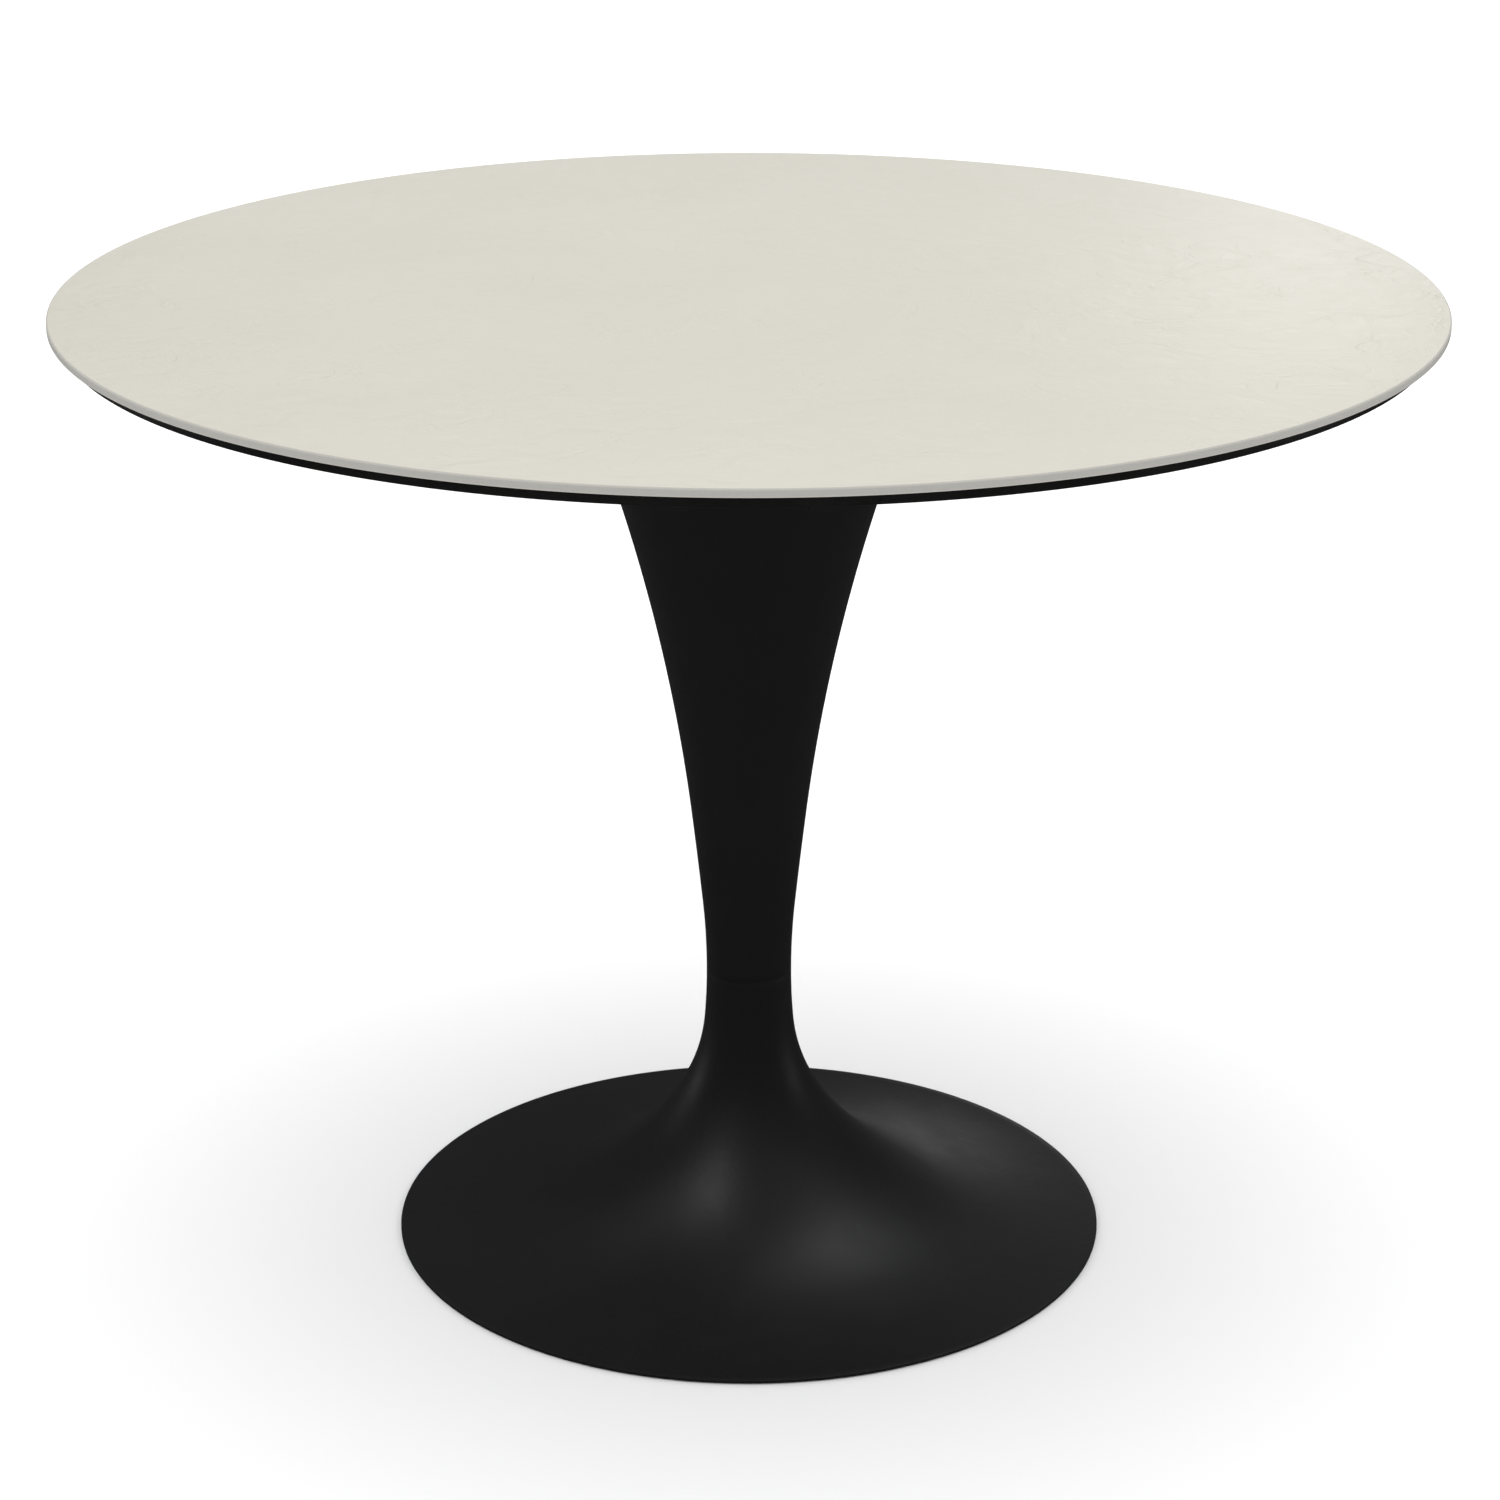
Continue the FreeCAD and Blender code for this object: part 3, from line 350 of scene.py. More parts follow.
def coated(name, casting=0.0):
    """Satin black powder coat with its fine orange peel, over smooth or cast metal.

    Faces that look up are painted paler, as painted light from above, and rubbed patches are paler
    as real wear; specks of dust lie over all.
    """
    f = sizes("finishes")
    finish = Finish(name, f.coat_gloss, specular=0.42)
    normal = finish.node("NewGeometry")["Normal"]
    # Painted light: a mask of the faces that look up, which get the paler colour as if lit from
    # above.
    up = finish.node("SeparateXYZ", None, {"Vector": normal})["Z"].clipped(0.10, 0.85)
    rubbed = finish.noise(14, detail=5.0, rough=0.6, swirl=0.4).clipped(0.46, 0.78)
    specks = finish.noise(2600, detail=1.0).clipped(0.66, 0.76)
    # The paler colour is painted light on up-facing faces, and real wear in the rubbed patches.
    tone = finish.blend(up * 0.85 + rubbed * 0.25, f.coat, f.coat_worn)
    finish.colour(finish.blend(specks * 0.35, tone, f.dust))
    height = finish.noise(650, detail=2.0, rough=0.45) * 0.5
    if casting:
        height = height + finish.noise(190, detail=5.0, rough=0.65) * casting
    finish.bump(height, 0.06 * MM)
    finish.roughness(finish.noise(38, detail=3.0) * 0.10 + rubbed * 0.04 + (f.coat_gloss - 0.06))
    return finish.material


def lacquer():
    """Rolled lacquer on board: faint stipple and a soft satin gloss."""
    f = sizes("finishes")
    finish = Finish("lacquer", 0.42, specular=0.16)
    stipple = finish.noise(480, detail=3.0, rough=0.55)
    broad = finish.noise(20, detail=4.0, rough=0.6).clipped(0.35, 0.75)
    paler = [part * 1.8 for part in f.lacquer]
    finish.colour(finish.blend(broad * 0.5 + stipple * 0.2, f.lacquer, paler))
    finish.bump(stipple, 0.05 * MM)
    finish.roughness(broad * 0.10 + stipple * 0.06 + 0.34)
    return finish.material


def plated_steel(name, pale, dark, roughness=0.32):
    """Plated or blackened steel with faint turning lines and handling marks."""
    finish = Finish(name, roughness, metallic=1.0)
    marks = finish.noise(70, detail=5.0, rough=0.65, swirl=0.5)
    lines = finish.noise(260, detail=2.0, rough=0.5, where=finish.stretched(1, 1, 14))
    finish.colour(finish.blend(marks.clipped(0.3, 0.75), pale, dark))
    finish.bump(lines * 0.6 + marks * 0.4, 0.03 * MM)
    finish.roughness(marks * 0.25 + lines * 0.08 + (roughness - 0.14))
    return finish.material


def bare_casting():
    """Sand-cast iron under a thin grey-black primer."""
    finish = Finish("bare_casting", 0.78, specular=0.3)
    sand = finish.noise(240, detail=6.0, rough=0.7)
    pits = 1.0 - finish.cells(130).clipped(0.10, 0.32)
    stains = finish.noise(22, detail=4.0, rough=0.6, swirl=0.8).clipped(0.42, 0.75)
    base = finish.blend(stains * 0.7, (0.036, 0.037, 0.038), (0.062, 0.050, 0.042))
    finish.colour(finish.blend(pits * 0.35, base, (0.022, 0.021, 0.020)))
    finish.bump(sand * 0.8 - pits * 0.25, 0.35 * MM)
    finish.roughness(sand * 0.25 + 0.62)
    return finish.material


def moulded(name, tone, paler, roughness, grain, depth):
    """Moulded rubber or plastic with a fine mould grain."""
    finish = Finish(name, roughness, specular=0.4)
    fine = finish.noise(grain, detail=3.0, rough=0.6)
    scuffs = finish.noise(55, detail=5.0, rough=0.7, swirl=0.6).clipped(0.52, 0.78)
    finish.colour(finish.blend(fine * 0.35 + scuffs * 0.5, tone, paler))
    finish.bump(fine, depth)
    finish.roughness(fine * 0.14 + scuffs * 0.08 + (roughness - 0.08))
    return finish.material


def zinc():
    return plated_steel("zinc", (0.52, 0.53, 0.55), (0.40, 0.41, 0.40))


def black_oxide():
    return plated_steel("black_oxide", (0.045, 0.045, 0.048), (0.085, 0.08, 0.075), 0.38)


def brass():
    return plated_steel("brass", (0.62, 0.44, 0.19), (0.48, 0.33, 0.13), 0.30)


def coat():
    return coated("coat")


def cast_coat():
    return coated("cast_coat", casting=2.2)


def rubber():
    return moulded("rubber", (0.014, 0.014, 0.014), (0.035, 0.034, 0.033), 0.72, 900, 0.06 * MM)


def nylon():
    return moulded("nylon", (0.020, 0.020, 0.021), (0.050, 0.050, 0.050), 0.52, 700, 0.04 * MM)


def cap_plastic():
    return moulded("cap_plastic", (0.007, 0.007, 0.007), (0.014, 0.014, 0.014), 0.46, 520,
                   0.05 * MM)


def adhesive():
    return moulded("adhesive", (0.045, 0.045, 0.045), (0.075, 0.075, 0.072), 0.6, 300, 0.08 * MM)


def finish_made_by(maker):
    """The finish that a function makes, made only once."""
    return bpy.data.materials.get(maker.__name__) or maker()


def paint(piece, *makers):
    """Give a piece its finishes; the first covers every face that has no other."""
    piece.data.materials.clear()
    for maker in makers:
        piece.data.materials.append(finish_made_by(maker))


def paint_nodes(maker, *nodes):
    """Give carried-over nodes their finish, and leave their meshes as they are."""
    for node in nodes:
        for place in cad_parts[node].material_slots:
            place.material = finish_made_by(maker)


# --------------------------------------------------------------- modelling

def deselect():
    bpy.ops.object.select_all(action="DESELECT")


def choose(piece):
    """Select this piece alone, and make it the active one."""
    deselect()
    piece.select_set(True)
    bpy.context.view_layer.objects.active = piece


def edit(piece):
    choose(piece)
    bpy.ops.object.mode_set(mode="EDIT")


def leave_edit():
    bpy.ops.object.mode_set(mode="OBJECT")


def added(name):
    """Name the primitive that was just added."""
    piece = bpy.context.object
    piece.name = name
    piece.data.name = name
    return piece


def apply_modifier(piece, kind, **settings):
    choose(piece)
    modifier = piece.modifiers.new(kind.title(), kind)
    for key, value in settings.items():
        setattr(modifier, key, value)
    bpy.ops.object.modifier_apply(modifier=modifier.name)


def soften(piece, width, degrees=30, segments=3):
    """Round every edge sharper than so many degrees."""
    apply_modifier(piece, "BEVEL", width=width, segments=segments, limit_method="ANGLE",
                   angle_limit=math.radians(degrees), harden_normals=False)


def shade(piece, degrees=32):
    """Shade smooth, but for edges sharper than so many degrees."""
    choose(piece)
    bpy.ops.object.shade_smooth_by_angle(angle=math.radians(degrees))


def combine(piece, other, operation):
    """Join, or cut by, another piece, which is then gone."""
    apply_modifier(piece, "BOOLEAN", object=other, operation=operation, solver="EXACT")
    bpy.data.objects.remove(other)


def lathe(name, outline, steps):
    """Turn an outline of (radius, height) points round an upright line.

    A circle is extruded from point to point. An outline that comes back to its first point makes
    a ring; any other makes a solid with a flat face at each end.
    """
    is_ring = outline[0] == outline[-1]
    deselect()
    radius, height = outline[0]
    bpy.ops.mesh.primitive_circle_add(vertices=steps, radius=radius, location=(0, 0, 0),
                                      fill_type="NOTHING" if is_ring else "NGON")
    piece = added(name)
    edit(piece)
    bpy.ops.mesh.select_all(action="SELECT")
    bpy.ops.transform.translate(value=(0, 0, height))
    for next_radius, next_height in outline[1:]:
        if is_ring:
            bpy.ops.mesh.extrude_edges_move()
        else:
            bpy.ops.mesh.extrude_region_move()
        bpy.ops.transform.translate(value=(0, 0, next_height - height))
        scale = next_radius / radius
        bpy.ops.transform.resize(value=(scale, scale, 1), center_override=(0, 0, next_height))
        radius, height = next_radius, next_height
    bpy.ops.mesh.select_all(action="SELECT")
    bpy.ops.mesh.remove_doubles(threshold=MERGE)
    bpy.ops.mesh.normals_make_consistent(inside=False)
    leave_edit()
    return piece


def shift(piece, x, y):
    """Move a piece's mesh sideways, and leave its origin where it is."""
    edit(piece)
    bpy.ops.mesh.select_all(action="SELECT")
    bpy.ops.transform.translate(value=(x, y, 0))
    leave_edit()


def hexagon(name, flats, bottom, top):
    """An upright hexagonal bar on the centre line."""
    deselect()
    bpy.ops.mesh.primitive_cylinder_add(vertices=6, radius=flats / math.sqrt(3),
                                        depth=top - bottom, location=(0, 0, 0))
    bar = added(name)
    edit(bar)
    bpy.ops.mesh.select_all(action="SELECT")
    bpy.ops.transform.translate(value=(0, 0, (top + bottom) / 2))
    leave_edit()
    return bar


def duplicate(piece):
    """A copy of a piece, with a mesh of its own."""
    choose(piece)
    bpy.ops.object.duplicate()
    return bpy.context.object


def join(pieces):
    """Join pieces into the first one."""
    deselect()
    for piece in pieces:
        piece.select_set(True)
    bpy.context.view_layer.objects.active = pieces[0]
    bpy.ops.object.join()
    return pieces[0]


def copies(piece, places):
    """Move a piece from the centre line to each (x, y) place, as one object."""
    pieces = [piece] + [duplicate(piece) for _ in places[1:]]
    for each, place in zip(pieces, places):
        shift(each, *place)
    return join(pieces)


def give(piece, body, node):
    """Let a finished piece ride on its body and stand for its node."""
    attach(piece, body)
    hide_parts(node)


# ---------------------------------------------------------------- outlines

class Outline:
    """Half of a turned piece's section, as (radius, height) points joined by lines and arcs.

    Each arc carries on from the last without a corner. Lean is the angle between the outline
    and upright, and up is 1 for an outline that climbs and -1 for one that comes down.
    """

    def __init__(self, radius, height, up=1):
        self.points = [(radius, height)]
        self.lean = 0.0
        self.up = up

    def bend(self, curve, lean, steps):
        """An arc of radius curve, up to a new lean."""
        start = self.points[-1]
        for step in range(1, steps + 1):
            now = self.lean + (lean - self.lean) * step / steps
            self.points.append((
                start[0] + curve * (math.cos(self.lean) - math.cos(now)),
                start[1] + self.up * curve * (math.sin(now) - math.sin(self.lean))))
        self.lean = lean

    def bend_to_height(self, curve, height, steps):
        """An arc of radius curve, up to a height."""
        climb = self.up * (height - self.points[-1][1])
        self.bend(curve, math.asin(math.sin(self.lean) + climb / curve), steps)

    def curve_to(self, radius, height):
        """Radius of the arc that carries on from here and ends at a point."""
        across = radius - self.points[-1][0]
        along = self.up * (height - self.points[-1][1])
        offset = across * math.cos(self.lean) - along * math.sin(self.lean)
        return (across ** 2 + along ** 2) / (2 * offset)

    def two_curves_to(self, radius, height, middle, last):
        """Radii of the two arcs that end at a point with lean last, and meet at lean middle."""
        across = radius - self.points[-1][0]
        along = self.up * (height - self.points[-1][1])
        out_1 = math.cos(self.lean) - math.cos(middle)
        out_2 = math.cos(middle) - math.cos(last)
        on_1 = math.sin(middle) - math.sin(self.lean)
        on_2 = math.sin(last) - math.sin(middle)
        scale = out_1 * on_2 - out_2 * on_1
        return (across * on_2 - out_2 * along) / scale, (out_1 * along - on_1 * across) / scale


def ring_places(count, circle, first):
    """Places evenly round a circle, from a first angle in degrees."""
    turns = [math.radians(first + 360 * k / count) for k in range(count)]
    return [(circle * math.cos(turn), circle * math.sin(turn)) for turn in turns]


def mirrored_places(x, *distances):
    """Places that are the same left and right, and front and back."""
    return [(side * x, end * y) for side in (-1, 1) for y in distances for end in (-1, 1)]


def pins(name, radius, bottom, top, places):
    """Upright round bars at some places, used to cut holes and to leave bosses."""
    return copies(lathe(name, [(radius, bottom), (radius, top)], PIN_STEPS), places)


def rail_middle():
    """Distance of the rails' middles from the table's."""
    return (low("rail_right").x + high("rail_right").x) / 2


def rail_screw_places():
    """Two screws on each half of a rail. A round head in facets measures a little small, so the
    outer screw's place is rounded to a tenth of a millimetre."""
    h = sizes("hardware")
    last = high("rail_screws").y - h.rail_screw_head
    return mirrored_places(rail_middle(), h.rail_screw_first, round(last, 4))


def plate_bolt_places():
    """One bolt on each half of a rail, rounded to a millimetre for the same reason."""
    washer_edge = round(high("plate_washers").y, 3)
    return mirrored_places(rail_middle(), washer_edge - sizes("hardware").plate_washer)


def ballast_bolt_places():
    circle = high("ballast_bolts").y - sizes("hardware").bolt_head
    return ring_places(BALLAST_BOLTS, circle, FIRST_BALLAST_BOLT)


def glide_places():
    place = (low("glide_pad_1") + high("glide_pad_1")) / 2
    return ring_places(len(GLIDE_NUMBERS), math.hypot(place.x, place.y), FIRST_GLIDE)


# ------------------------------------------------------------------ pieces

def make_slab():
    """The round slab: a flat disc with a fine arris, a fired face and a ground edge."""
    t = sizes("top")
    bottom, top = low("ceramic_top").z, high("ceramic_top")
    slab = lathe("slab", [(top.x, bottom), (top.x, top.z)], t.segments)
    soften(slab, t.slab_arris)
    finishes = (slab_face, slab_edge, slab_arris)
    paint(slab, *finishes)
    # Faces on the arris get the paler arris colour. This is painted light on the honed corner.
    for face in slab.data.polygons:
        lean = math.degrees(math.acos(min(abs(face.normal.z), 1)))
        finish = slab_face if lean < FACE_LEAN else slab_arris if lean < ARRIS_LEAN else slab_edge
        face.material_index = finishes.index(finish)
    shade(slab)
    give(slab, TABLE, "ceramic_top")


def make_panel():
    """The board under the slab: upright rim, wide bevel, blind holes for the inserts."""
    t = sizes("top")
    bottom, top = low("support_panel").z, high("support_panel")
    outline = [(top.x - t.panel_bevel, bottom), (top.x, top.z - t.panel_edge), (top.x, top.z)]
    panel = lathe("panel", outline, t.segments)
    soften(panel, t.panel_round, degrees=12)
    insert = high("panel_inserts")
    holes = pins("holes", insert.x - rail_middle(), bottom - MM, insert.z, rail_screw_places())
    combine(panel, holes, "DIFFERENCE")
    paint(panel, lacquer)
    shade(panel)
    give(panel, TABLE, "support_panel")


def make_column():
    """The trumpet-shaped column: a turned shell, thin all the way, open at the mouth."""
    p = sizes("pedestal")
    bottom, top = low("column").z, high("column")
    outer = Outline(p.neck, bottom)
    outer.bend(p.waist_curve, p.waist_angle, steps=8)
    outer.bend(p.stem_curve, p.stem_angle, steps=4)
    bell = outer.curve_to(top.x, top.z)
    outer.bend_to_height(bell, top.z, steps=44)
    hidden = Outline(p.neck - p.wall, bottom)
    hidden.bend_to_height(p.waist_curve + p.wall, bottom + p.seat_depth, steps=1)
    inner = Outline(*hidden.points[-1])
    inner.lean = hidden.lean
    inner.bend(p.waist_curve + p.wall, p.waist_angle, steps=3)
    inner.bend(p.stem_curve + p.wall, p.stem_angle, steps=4)
    inner.bend_to_height(bell + p.wall, top.z, steps=44)
    seat = [(p.seat, bottom + p.seat_depth), (p.seat, bottom)]
    outline = outer.points + inner.points[::-1] + seat + outer.points[:1]
    column = lathe("bell_column", outline, sizes("top").segments)
    soften(column, p.edge, degrees=50, segments=2)
    paint(column, coat)
    shade(column)
    give(column, TABLE, "column")


def foot_curves():
    """Outer and inner outlines of the foot, both from the neck down."""
    p = sizes("pedestal")
    bottom, top = low("foot").z, high("foot")
    outer = Outline(p.neck, top.z, up=-1)
    outer.bend(p.ankle_curve, p.ankle_angle, steps=8)
    outer.bend(p.instep_curve, p.instep_angle, steps=14)
    flare, apron = outer.two_curves_to(top.x, p.rim_height, p.flare_angle, p.rim_angle)
    outer.bend(flare, p.flare_angle, steps=28)
    outer.bend(apron, p.rim_angle, steps=16)
    hidden = Outline(p.neck - p.wall, top.z, up=-1)
    hidden.bend(p.ankle_curve + p.wall, p.ankle_angle, steps=1)
    hidden.bend_to_height(p.instep_curve + p.wall, top.z - p.seat_depth - p.diaphragm, steps=1)
    inner = Outline(*hidden.points[-1], up=-1)
    inner.lean = hidden.lean
    inner.bend(p.instep_curve + p.wall, p.instep_angle, steps=12)
    inner.bend(flare + p.wall, p.flare_angle, steps=28)
    inner.bend_to_height(apron + p.wall, bottom, steps=12)
    return outer.points, inner.points


def make_foot():
    """The trumpet-shaped foot: a cast shell with a wall across it and bosses inside."""
    p, h = sizes("pedestal"), sizes("hardware")
    steps = sizes("top").segments
    bottom, top, ring = low("foot").z, high("foot"), high("floor_ring")
    outer, inner = foot_curves()
    ring_out, ring_in = ring.x + p.ring_fit, ring.x - p.ring_width - p.ring_fit
    recess = [(top.x, bottom), (ring_out, bottom), (ring_out, ring.z), (ring_in, ring.z),
              (ring_in, bottom)]
    floor_of_seat = top.z - p.seat_depth
    bore = [(p.rod_hole, bottom), (p.rod_hole, floor_of_seat), (p.seat, floor_of_seat),
            (p.seat, top.z)]
    foot = lathe("foot_casting", outer + recess + bore + outer[:1], steps)
    soften(foot, p.edge, degrees=50, segments=2)

    hollow = lathe("hollow", inner + [(inner[-1][0], bottom - MM)], steps)
    ballast_top, ballast_bolt_top = high("ballast_disc").z, high("ballast_bolts").z
    stud_top = high("glide_stud_1").z
    past_wall = top.z / 2  # higher than the hollow is where the bosses stand
    bosses = join([
        pins("bolt_bosses", p.bolt_boss, ballast_top, past_wall, ballast_bolt_places()),
        pins("glide_bosses", p.glide_boss, stud_top - h.stud_engaged, past_wall, glide_places())])
    combine(hollow, bosses, "DIFFERENCE")
    combine(foot, hollow, "DIFFERENCE")
    holes = join([
        pins("bolt_holes", h.bolt + p.thread_fit, bottom, ballast_bolt_top + h.bolt_hole_gap,
             ballast_bolt_places()),
        pins("glide_holes", h.stud + p.thread_fit, bottom, stud_top + h.stud_hole_gap,
             glide_places())])
    combine(foot, holes, "DIFFERENCE")
    paint(foot, cast_coat)
    shade(foot)
    give(foot, TABLE, "foot")


def make_ring():
    """The rubber ring that the foot stands on, with rounded edges."""
    p = sizes("pedestal")
    top = high("floor_ring")
    inside = top.x - p.ring_width
    outline = [(top.x, 0), (top.x, top.z), (inside, top.z), (inside, 0), (top.x, 0)]
    ring = lathe("standing_ring", outline, sizes("top").segments)
    soften(ring, p.ring_round, degrees=50)
    paint(ring, rubber)
    shade(ring)
    give(ring, TABLE, "floor_ring")


def button_screw(name, head, rise, key, shank, bottom, top):
    """A screw that points up, with a domed head and a hexagon socket in it."""
    flat, domed = head * HEAD_FLAT, rise * HEAD_DOME
    turns = [math.radians(degrees) for degrees in range(0, 91, 15)]
    outline = [(flat + (head - flat) * math.sin(turn), bottom + domed * (1 - math.cos(turn)))
               for turn in turns]
    outline += [(head, bottom + rise), (shank, bottom + rise), (shank, top)]
    screw = lathe(name, outline, PIN_STEPS)
    depth = sizes("hardware").key_depth
    combine(screw, hexagon("key", key, bottom - MM, bottom + depth), "DIFFERENCE")
    soften(screw, sizes("hardware").edge, degrees=50, segments=2)
    return screw


def make_rail_screws():
    """Button-head screws that hold the rails to the panel."""
    h = sizes("hardware")
    screw = button_screw("rail_screw_set", h.rail_screw_head, h.rail_screw_rise, h.rail_screw_key,
                         h.rail_screw, low("rail_screws").z, high("rail_screws").z)
    screws = copies(screw, rail_screw_places())
    paint(screws, black_oxide)
    shade(screws)
    give(screws, TABLE, "rail_screws")


def make_bolts(name, node, places):
    """Button-head bolts of one size, at some places."""
    h = sizes("hardware")
    bolt = button_screw(name, h.bolt_head, h.bolt_rise, h.bolt_key, h.bolt, low(node).z,
                        high(node).z)
    bolts = copies(bolt, places)
    paint(bolts, zinc)
    shade(bolts)
    give(bolts, TABLE, node)


def make_pad(number, place):
    """A glide's nylon pad: chamfered both ways, with the socket that the stud sits in."""
    h = sizes("hardware")
    node = f"glide_pad_{number}"
    bottom, top = low(node), high(node)
    radius, chamfer = (top.x - bottom.x) / 2, h.pad_chamfer
    outline = [(h.pad_socket, top.z - h.pad_depth), (h.pad_socket, top.z),
               (radius - chamfer, top.z), (radius, top.z - chamfer), (radius, bottom.z + chamfer),
               (radius - chamfer, bottom.z)]
    pad = lathe(f"pad_{number}", outline, 2 * PIN_STEPS)
    soften(pad, h.edge, degrees=30, segments=2)
    shift(pad, *place)
    paint(pad, nylon)
    shade(pad)
    give(pad, f"pad_{number}", node)


def make_stud(number, place):
    """A glide's threaded stud: round head, hexagon collar and the thread above it."""
    h = sizes("hardware")
    node = f"glide_stud_{number}"
    bottom, top = low(node).z, high(node).z
    collar_bottom = bottom + h.pad_depth
    collar_top = collar_bottom + h.collar
    core = h.stud - h.thread_depth
    outline = [(h.stud_head, bottom), (h.stud_head, collar_bottom), (core, collar_bottom)]
    height = collar_top
    while height + h.pitch < top:
        outline += [(core, height), (h.stud, height + h.pitch / 2)]
        height += h.pitch
    outline += [(core, height), (core, top)]
    stud = lathe(f"stud_{number}", outline, PIN_STEPS)
    collar = hexagon("collar", h.collar_flats, collar_bottom, collar_top)
    soften(collar, h.edge, degrees=30, segments=2)
    combine(stud, collar, "UNION")
    shift(stud, *place)
    paint(stud, zinc)
    shade(stud)
    give(stud, f"stud_{number}", node)


def finish_carried_parts():
    """Finishes for the parts that keep the shape they came with."""
    paint_nodes(adhesive, "bond_layer")
    paint_nodes(brass, "panel_inserts")
    paint_nodes(coat, "rail_left", "rail_right", "top_plate")
    paint_nodes(cap_plastic, "rail_end_caps")
    paint_nodes(zinc, "rail_rivet_nuts", "plate_washers", "neck_sleeve", "tie_rod",
                "rod_nut_upper", "rod_nut_lower", "rod_washer")
    paint_nodes(bare_casting, "ballast_disc")


# ------------------------------------------------------------------- stage

CAMERA_PLACE = (0.0008, -2.8061, 1.4148)
CAMERA_TILT = 69.891
CAMERA_LENS = 95.503
FLOOR_SIZE = 60
VIEW_DISTANCE = 200

# Strength of the surroundings as a light, in reflections, and as the white background.
SOFT_LIGHT = 1.06
MIRRORED_LIGHT = 0.06
BACKGROUND = 1.0

# Suns have a direction to shine from, and a spread in degrees.
OVERHEAD = dict(name="overhead", direction=(0, 0, 1), power=1.1, spread=80)
GLINTS = (
    dict(name="glint_left", direction=(-0.383, -0.254, 0.888), power=0.36, spread=12),
    dict(name="glint_right", direction=(0.340, 0.280, 0.898), power=0.35, spread=12),
)

# Softboxes face the pedestal. The slab's own make the sheen at its right and back.
SOFTBOX_AIM = (0, 0, 0.3)
SOFTBOXES = (
    dict(name="box_left", place=(-2.8, 1.05, 0.35), width=0.9, height=0.5, power=2.8),
    dict(name="box_right", place=(2.95, 0.2, 0.35), width=0.9, height=0.5, power=2.2),
    dict(name="box_low_back", place=(0.66, 2.9, 0.34), width=0.5, height=0.25, power=1.15),
)
SLAB_BOXES = (
    dict(name="box_slab_sheen", place=(1.25, 4.25, 1.8), width=0.5, height=0.5, power=5.5),
    dict(name="box_slab_back", place=(0, 5.0, 1.2), width=3.0, height=0.3, power=9.0),
)


def pale_floor():
    """Matt white floor, very faintly clouded."""
    finish = Finish("pale_floor", 0.9, specular=0.0)
    clouds = finish.noise(0.7, detail=3.0, rough=0.5)
    finish.colour(finish.blend(clouds, (0.92, 0.92, 0.92), (0.94, 0.94, 0.94)))
    finish.roughness(clouds * 0.1 + 0.85)
    return finish.material


def point_at(light, target):
    """Turn a light towards a place."""
    light.rotation_mode = "QUATERNION"
    light.rotation_quaternion = (light.location - Vector(target)).to_track_quat("Z", "Y")


def add_sun(name, direction, power, spread):
    """A light from far away, with a soft edge of so many degrees."""
    bpy.ops.object.light_add(type="SUN", location=direction)
    sun = bpy.context.object
    sun.name = name
    sun.data.energy = power
    sun.data.angle = math.radians(spread)
    point_at(sun, (0, 0, 0))
    return sun


def add_softbox(name, place, width, height, power):
    """A lit panel that faces the pedestal and isn't seen itself."""
    bpy.ops.object.light_add(type="AREA", location=place)
    box = bpy.context.object
    box.name = name
    box.data.shape = "RECTANGLE"
    box.data.size = width
    box.data.size_y = height
    box.data.energy = power
    box.visible_camera = False
    point_at(box, SOFTBOX_AIM)
    return box


def studio():
    """Even soft light from all round, dimmer in reflections, and a white background."""
    world = bpy.data.worlds.new("studio")
    world.use_nodes = True
    nodes, links = world.node_tree.nodes, world.node_tree.links
    ray = nodes.new("ShaderNodeLightPath")
    strengths = []
    for seen_by, strength in (("Is Glossy Ray", MIRRORED_LIGHT), ("Is Camera Ray", BACKGROUND)):
        mix = nodes.new("ShaderNodeMix")
        links.new(ray.outputs[seen_by], mix.inputs["Factor"])
        mix.inputs["A"].default_value = SOFT_LIGHT
        mix.inputs["B"].default_value = strength
        strengths.append(mix)
    links.new(strengths[0].outputs["Result"], strengths[1].inputs["A"])
    links.new(strengths[1].outputs["Result"], nodes["Background"].inputs["Strength"])
    nodes["Background"].inputs["Color"].default_value = (1, 1, 1, 1)
    return world


def set_stage():
    """Floor, lights, surroundings and camera."""
    deselect()
    bpy.ops.mesh.primitive_plane_add(size=FLOOR_SIZE, location=(0, 0, 0))
    floor = added("floor")
    floor.visible_glossy = False
    paint(floor, pale_floor)

    add_sun(**OVERHEAD)
    for light in GLINTS:
        glint = add_sun(**light)
        glint.visible_diffuse = False
        glint.data.use_shadow = False
    for box in SOFTBOXES:
        add_softbox(**box)
    only_slab = bpy.data.collections.new("only_slab")
    only_slab.objects.link(bpy.data.objects["slab"])
    for box in SLAB_BOXES:
        add_softbox(**box).light_linking.receiver_collection = only_slab

    bpy.context.scene.world = studio()
    bpy.ops.object.camera_add(location=CAMERA_PLACE,
                              rotation=(math.radians(CAMERA_TILT), 0, 0))
    camera = added("camera")
    camera.data.lens = CAMERA_LENS
    camera.data.clip_end = VIEW_DISTANCE
    bpy.context.scene.camera = camera
    bpy.context.scene.view_settings.view_transform = "Standard"


# --------------------------------------------------------------- operators

class BuildSlab(bpy.types.Operator):
    """Build the ceramic slab"""
    bl_idname = "pedestal_table.slab"
    bl_label = "Slab"

    def execute(self, context):
        make_slab()
        return {"FINISHED"}


class BuildPanel(bpy.types.Operator):
    """Build the bevelled panel under the slab"""
    bl_idname = "pedestal_table.panel"
    bl_label = "Panel"

    def execute(self, context):
        make_panel()
        return {"FINISHED"}


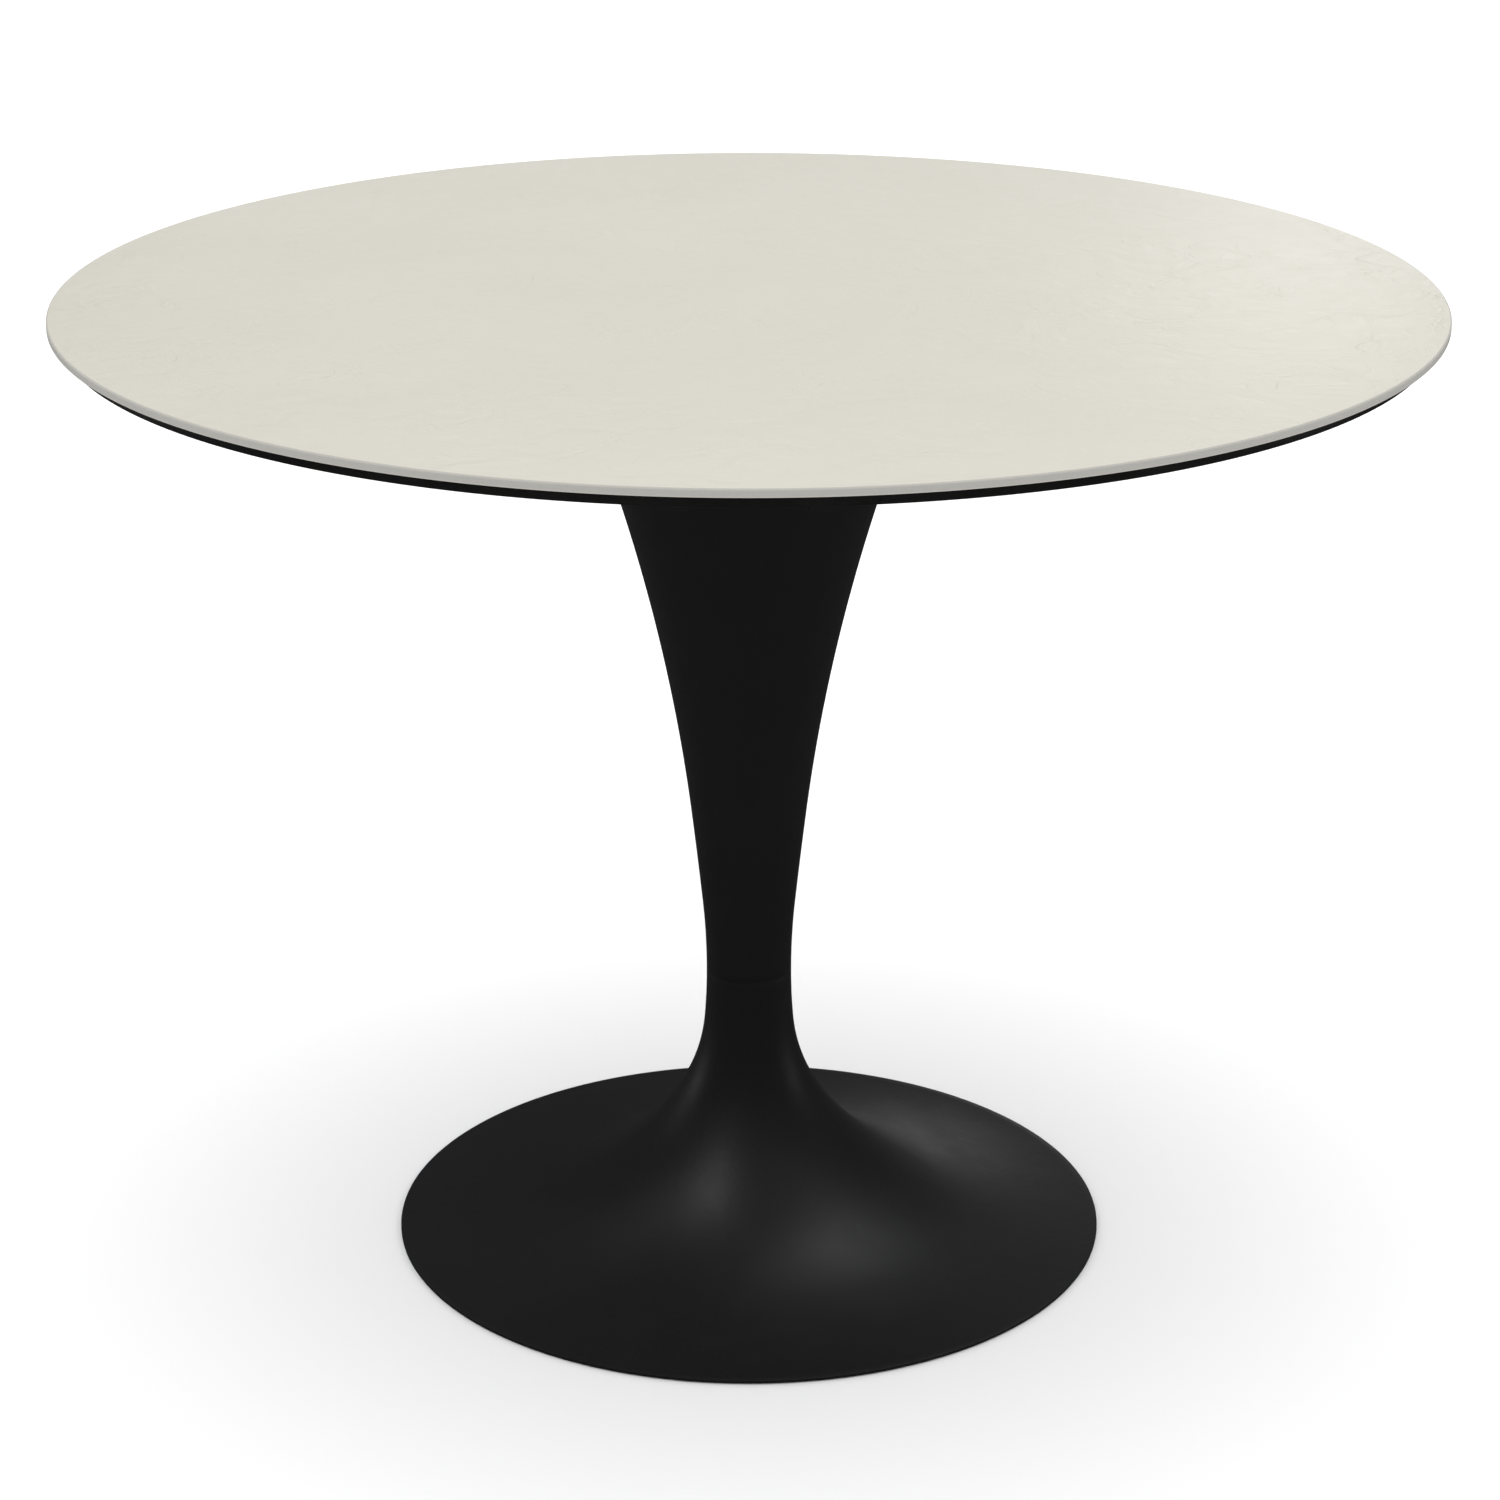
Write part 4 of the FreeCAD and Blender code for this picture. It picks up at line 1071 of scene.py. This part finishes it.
class BuildColumn(bpy.types.Operator):
    """Build the trumpet-shaped column"""
    bl_idname = "pedestal_table.column"
    bl_label = "Column"

    def execute(self, context):
        make_column()
        return {"FINISHED"}


class BuildFoot(bpy.types.Operator):
    """Build the foot casting"""
    bl_idname = "pedestal_table.foot"
    bl_label = "Foot"

    def execute(self, context):
        make_foot()
        return {"FINISHED"}


class BuildRing(bpy.types.Operator):
    """Build the rubber ring under the foot"""
    bl_idname = "pedestal_table.ring"
    bl_label = "Standing ring"

    def execute(self, context):
        make_ring()
        return {"FINISHED"}


class BuildRailScrews(bpy.types.Operator):
    """Build the screws that hold the rails to the panel"""
    bl_idname = "pedestal_table.rail_screws"
    bl_label = "Rail screws"

    def execute(self, context):
        make_rail_screws()
        return {"FINISHED"}


class BuildBolts(bpy.types.Operator):
    """Build the plate bolts and the ballast bolts"""
    bl_idname = "pedestal_table.bolts"
    bl_label = "Bolts"

    def execute(self, context):
        make_bolts("plate_bolt_set", "plate_bolts", plate_bolt_places())
        make_bolts("ballast_bolt_set", "ballast_bolts", ballast_bolt_places())
        return {"FINISHED"}


class BuildGlides(bpy.types.Operator):
    """Build the levelling glides, a pad and a stud each"""
    bl_idname = "pedestal_table.glides"
    bl_label = "Glides"

    def execute(self, context):
        for number, place in zip(GLIDE_NUMBERS, glide_places()):
            make_pad(number, place)
            make_stud(number, place)
        return {"FINISHED"}


class FinishCarriedParts(bpy.types.Operator):
    """Give the carried-over parts their finishes"""
    bl_idname = "pedestal_table.finish_parts"
    bl_label = "Other finishes"

    def execute(self, context):
        finish_carried_parts()
        return {"FINISHED"}


class SetStage(bpy.types.Operator):
    """Add the floor, the lights and the camera"""
    bl_idname = "pedestal_table.stage"
    bl_label = "Stage"

    def execute(self, context):
        set_stage()
        return {"FINISHED"}


OPERATORS = (BuildSlab, BuildPanel, BuildColumn, BuildFoot, BuildRing, BuildRailScrews,
             BuildBolts, BuildGlides, FinishCarriedParts, SetStage)


class TablePanel(bpy.types.Panel):
    """Lists the sizes, finishes and building steps of the table"""
    bl_idname = "VIEW3D_PT_pedestal_table"
    bl_label = "Pedestal table"
    bl_space_type = "VIEW_3D"
    bl_region_type = "UI"
    bl_category = "Table"

    def draw(self, context):
        for name, group in SIZES.items():
            box = self.layout.box()
            box.label(text=name.title())
            for key in group.__annotations__:
                box.prop(getattr(context.scene, "table_" + name), key)
        for operator in OPERATORS:
            self.layout.operator(operator.bl_idname)


def register():
    for made_class in (*SIZES.values(), *OPERATORS, TablePanel):
        bpy.utils.register_class(made_class)
    for name, group in SIZES.items():
        setattr(bpy.types.Scene, "table_" + name, PointerProperty(type=group))


def unregister():
    for name in SIZES:
        delattr(bpy.types.Scene, "table_" + name)
    for made_class in (TablePanel, *OPERATORS[::-1], *SIZES.values()):
        bpy.utils.unregister_class(made_class)


def main():
    register()
    bpy.ops.pedestal_table.slab()
    bpy.ops.pedestal_table.panel()
    bpy.ops.pedestal_table.column()
    bpy.ops.pedestal_table.foot()
    bpy.ops.pedestal_table.ring()
    bpy.ops.pedestal_table.rail_screws()
    bpy.ops.pedestal_table.bolts()
    bpy.ops.pedestal_table.glides()
    bpy.ops.pedestal_table.finish_parts()
    bpy.ops.pedestal_table.stage()


if __name__ == "__main__":
    main()
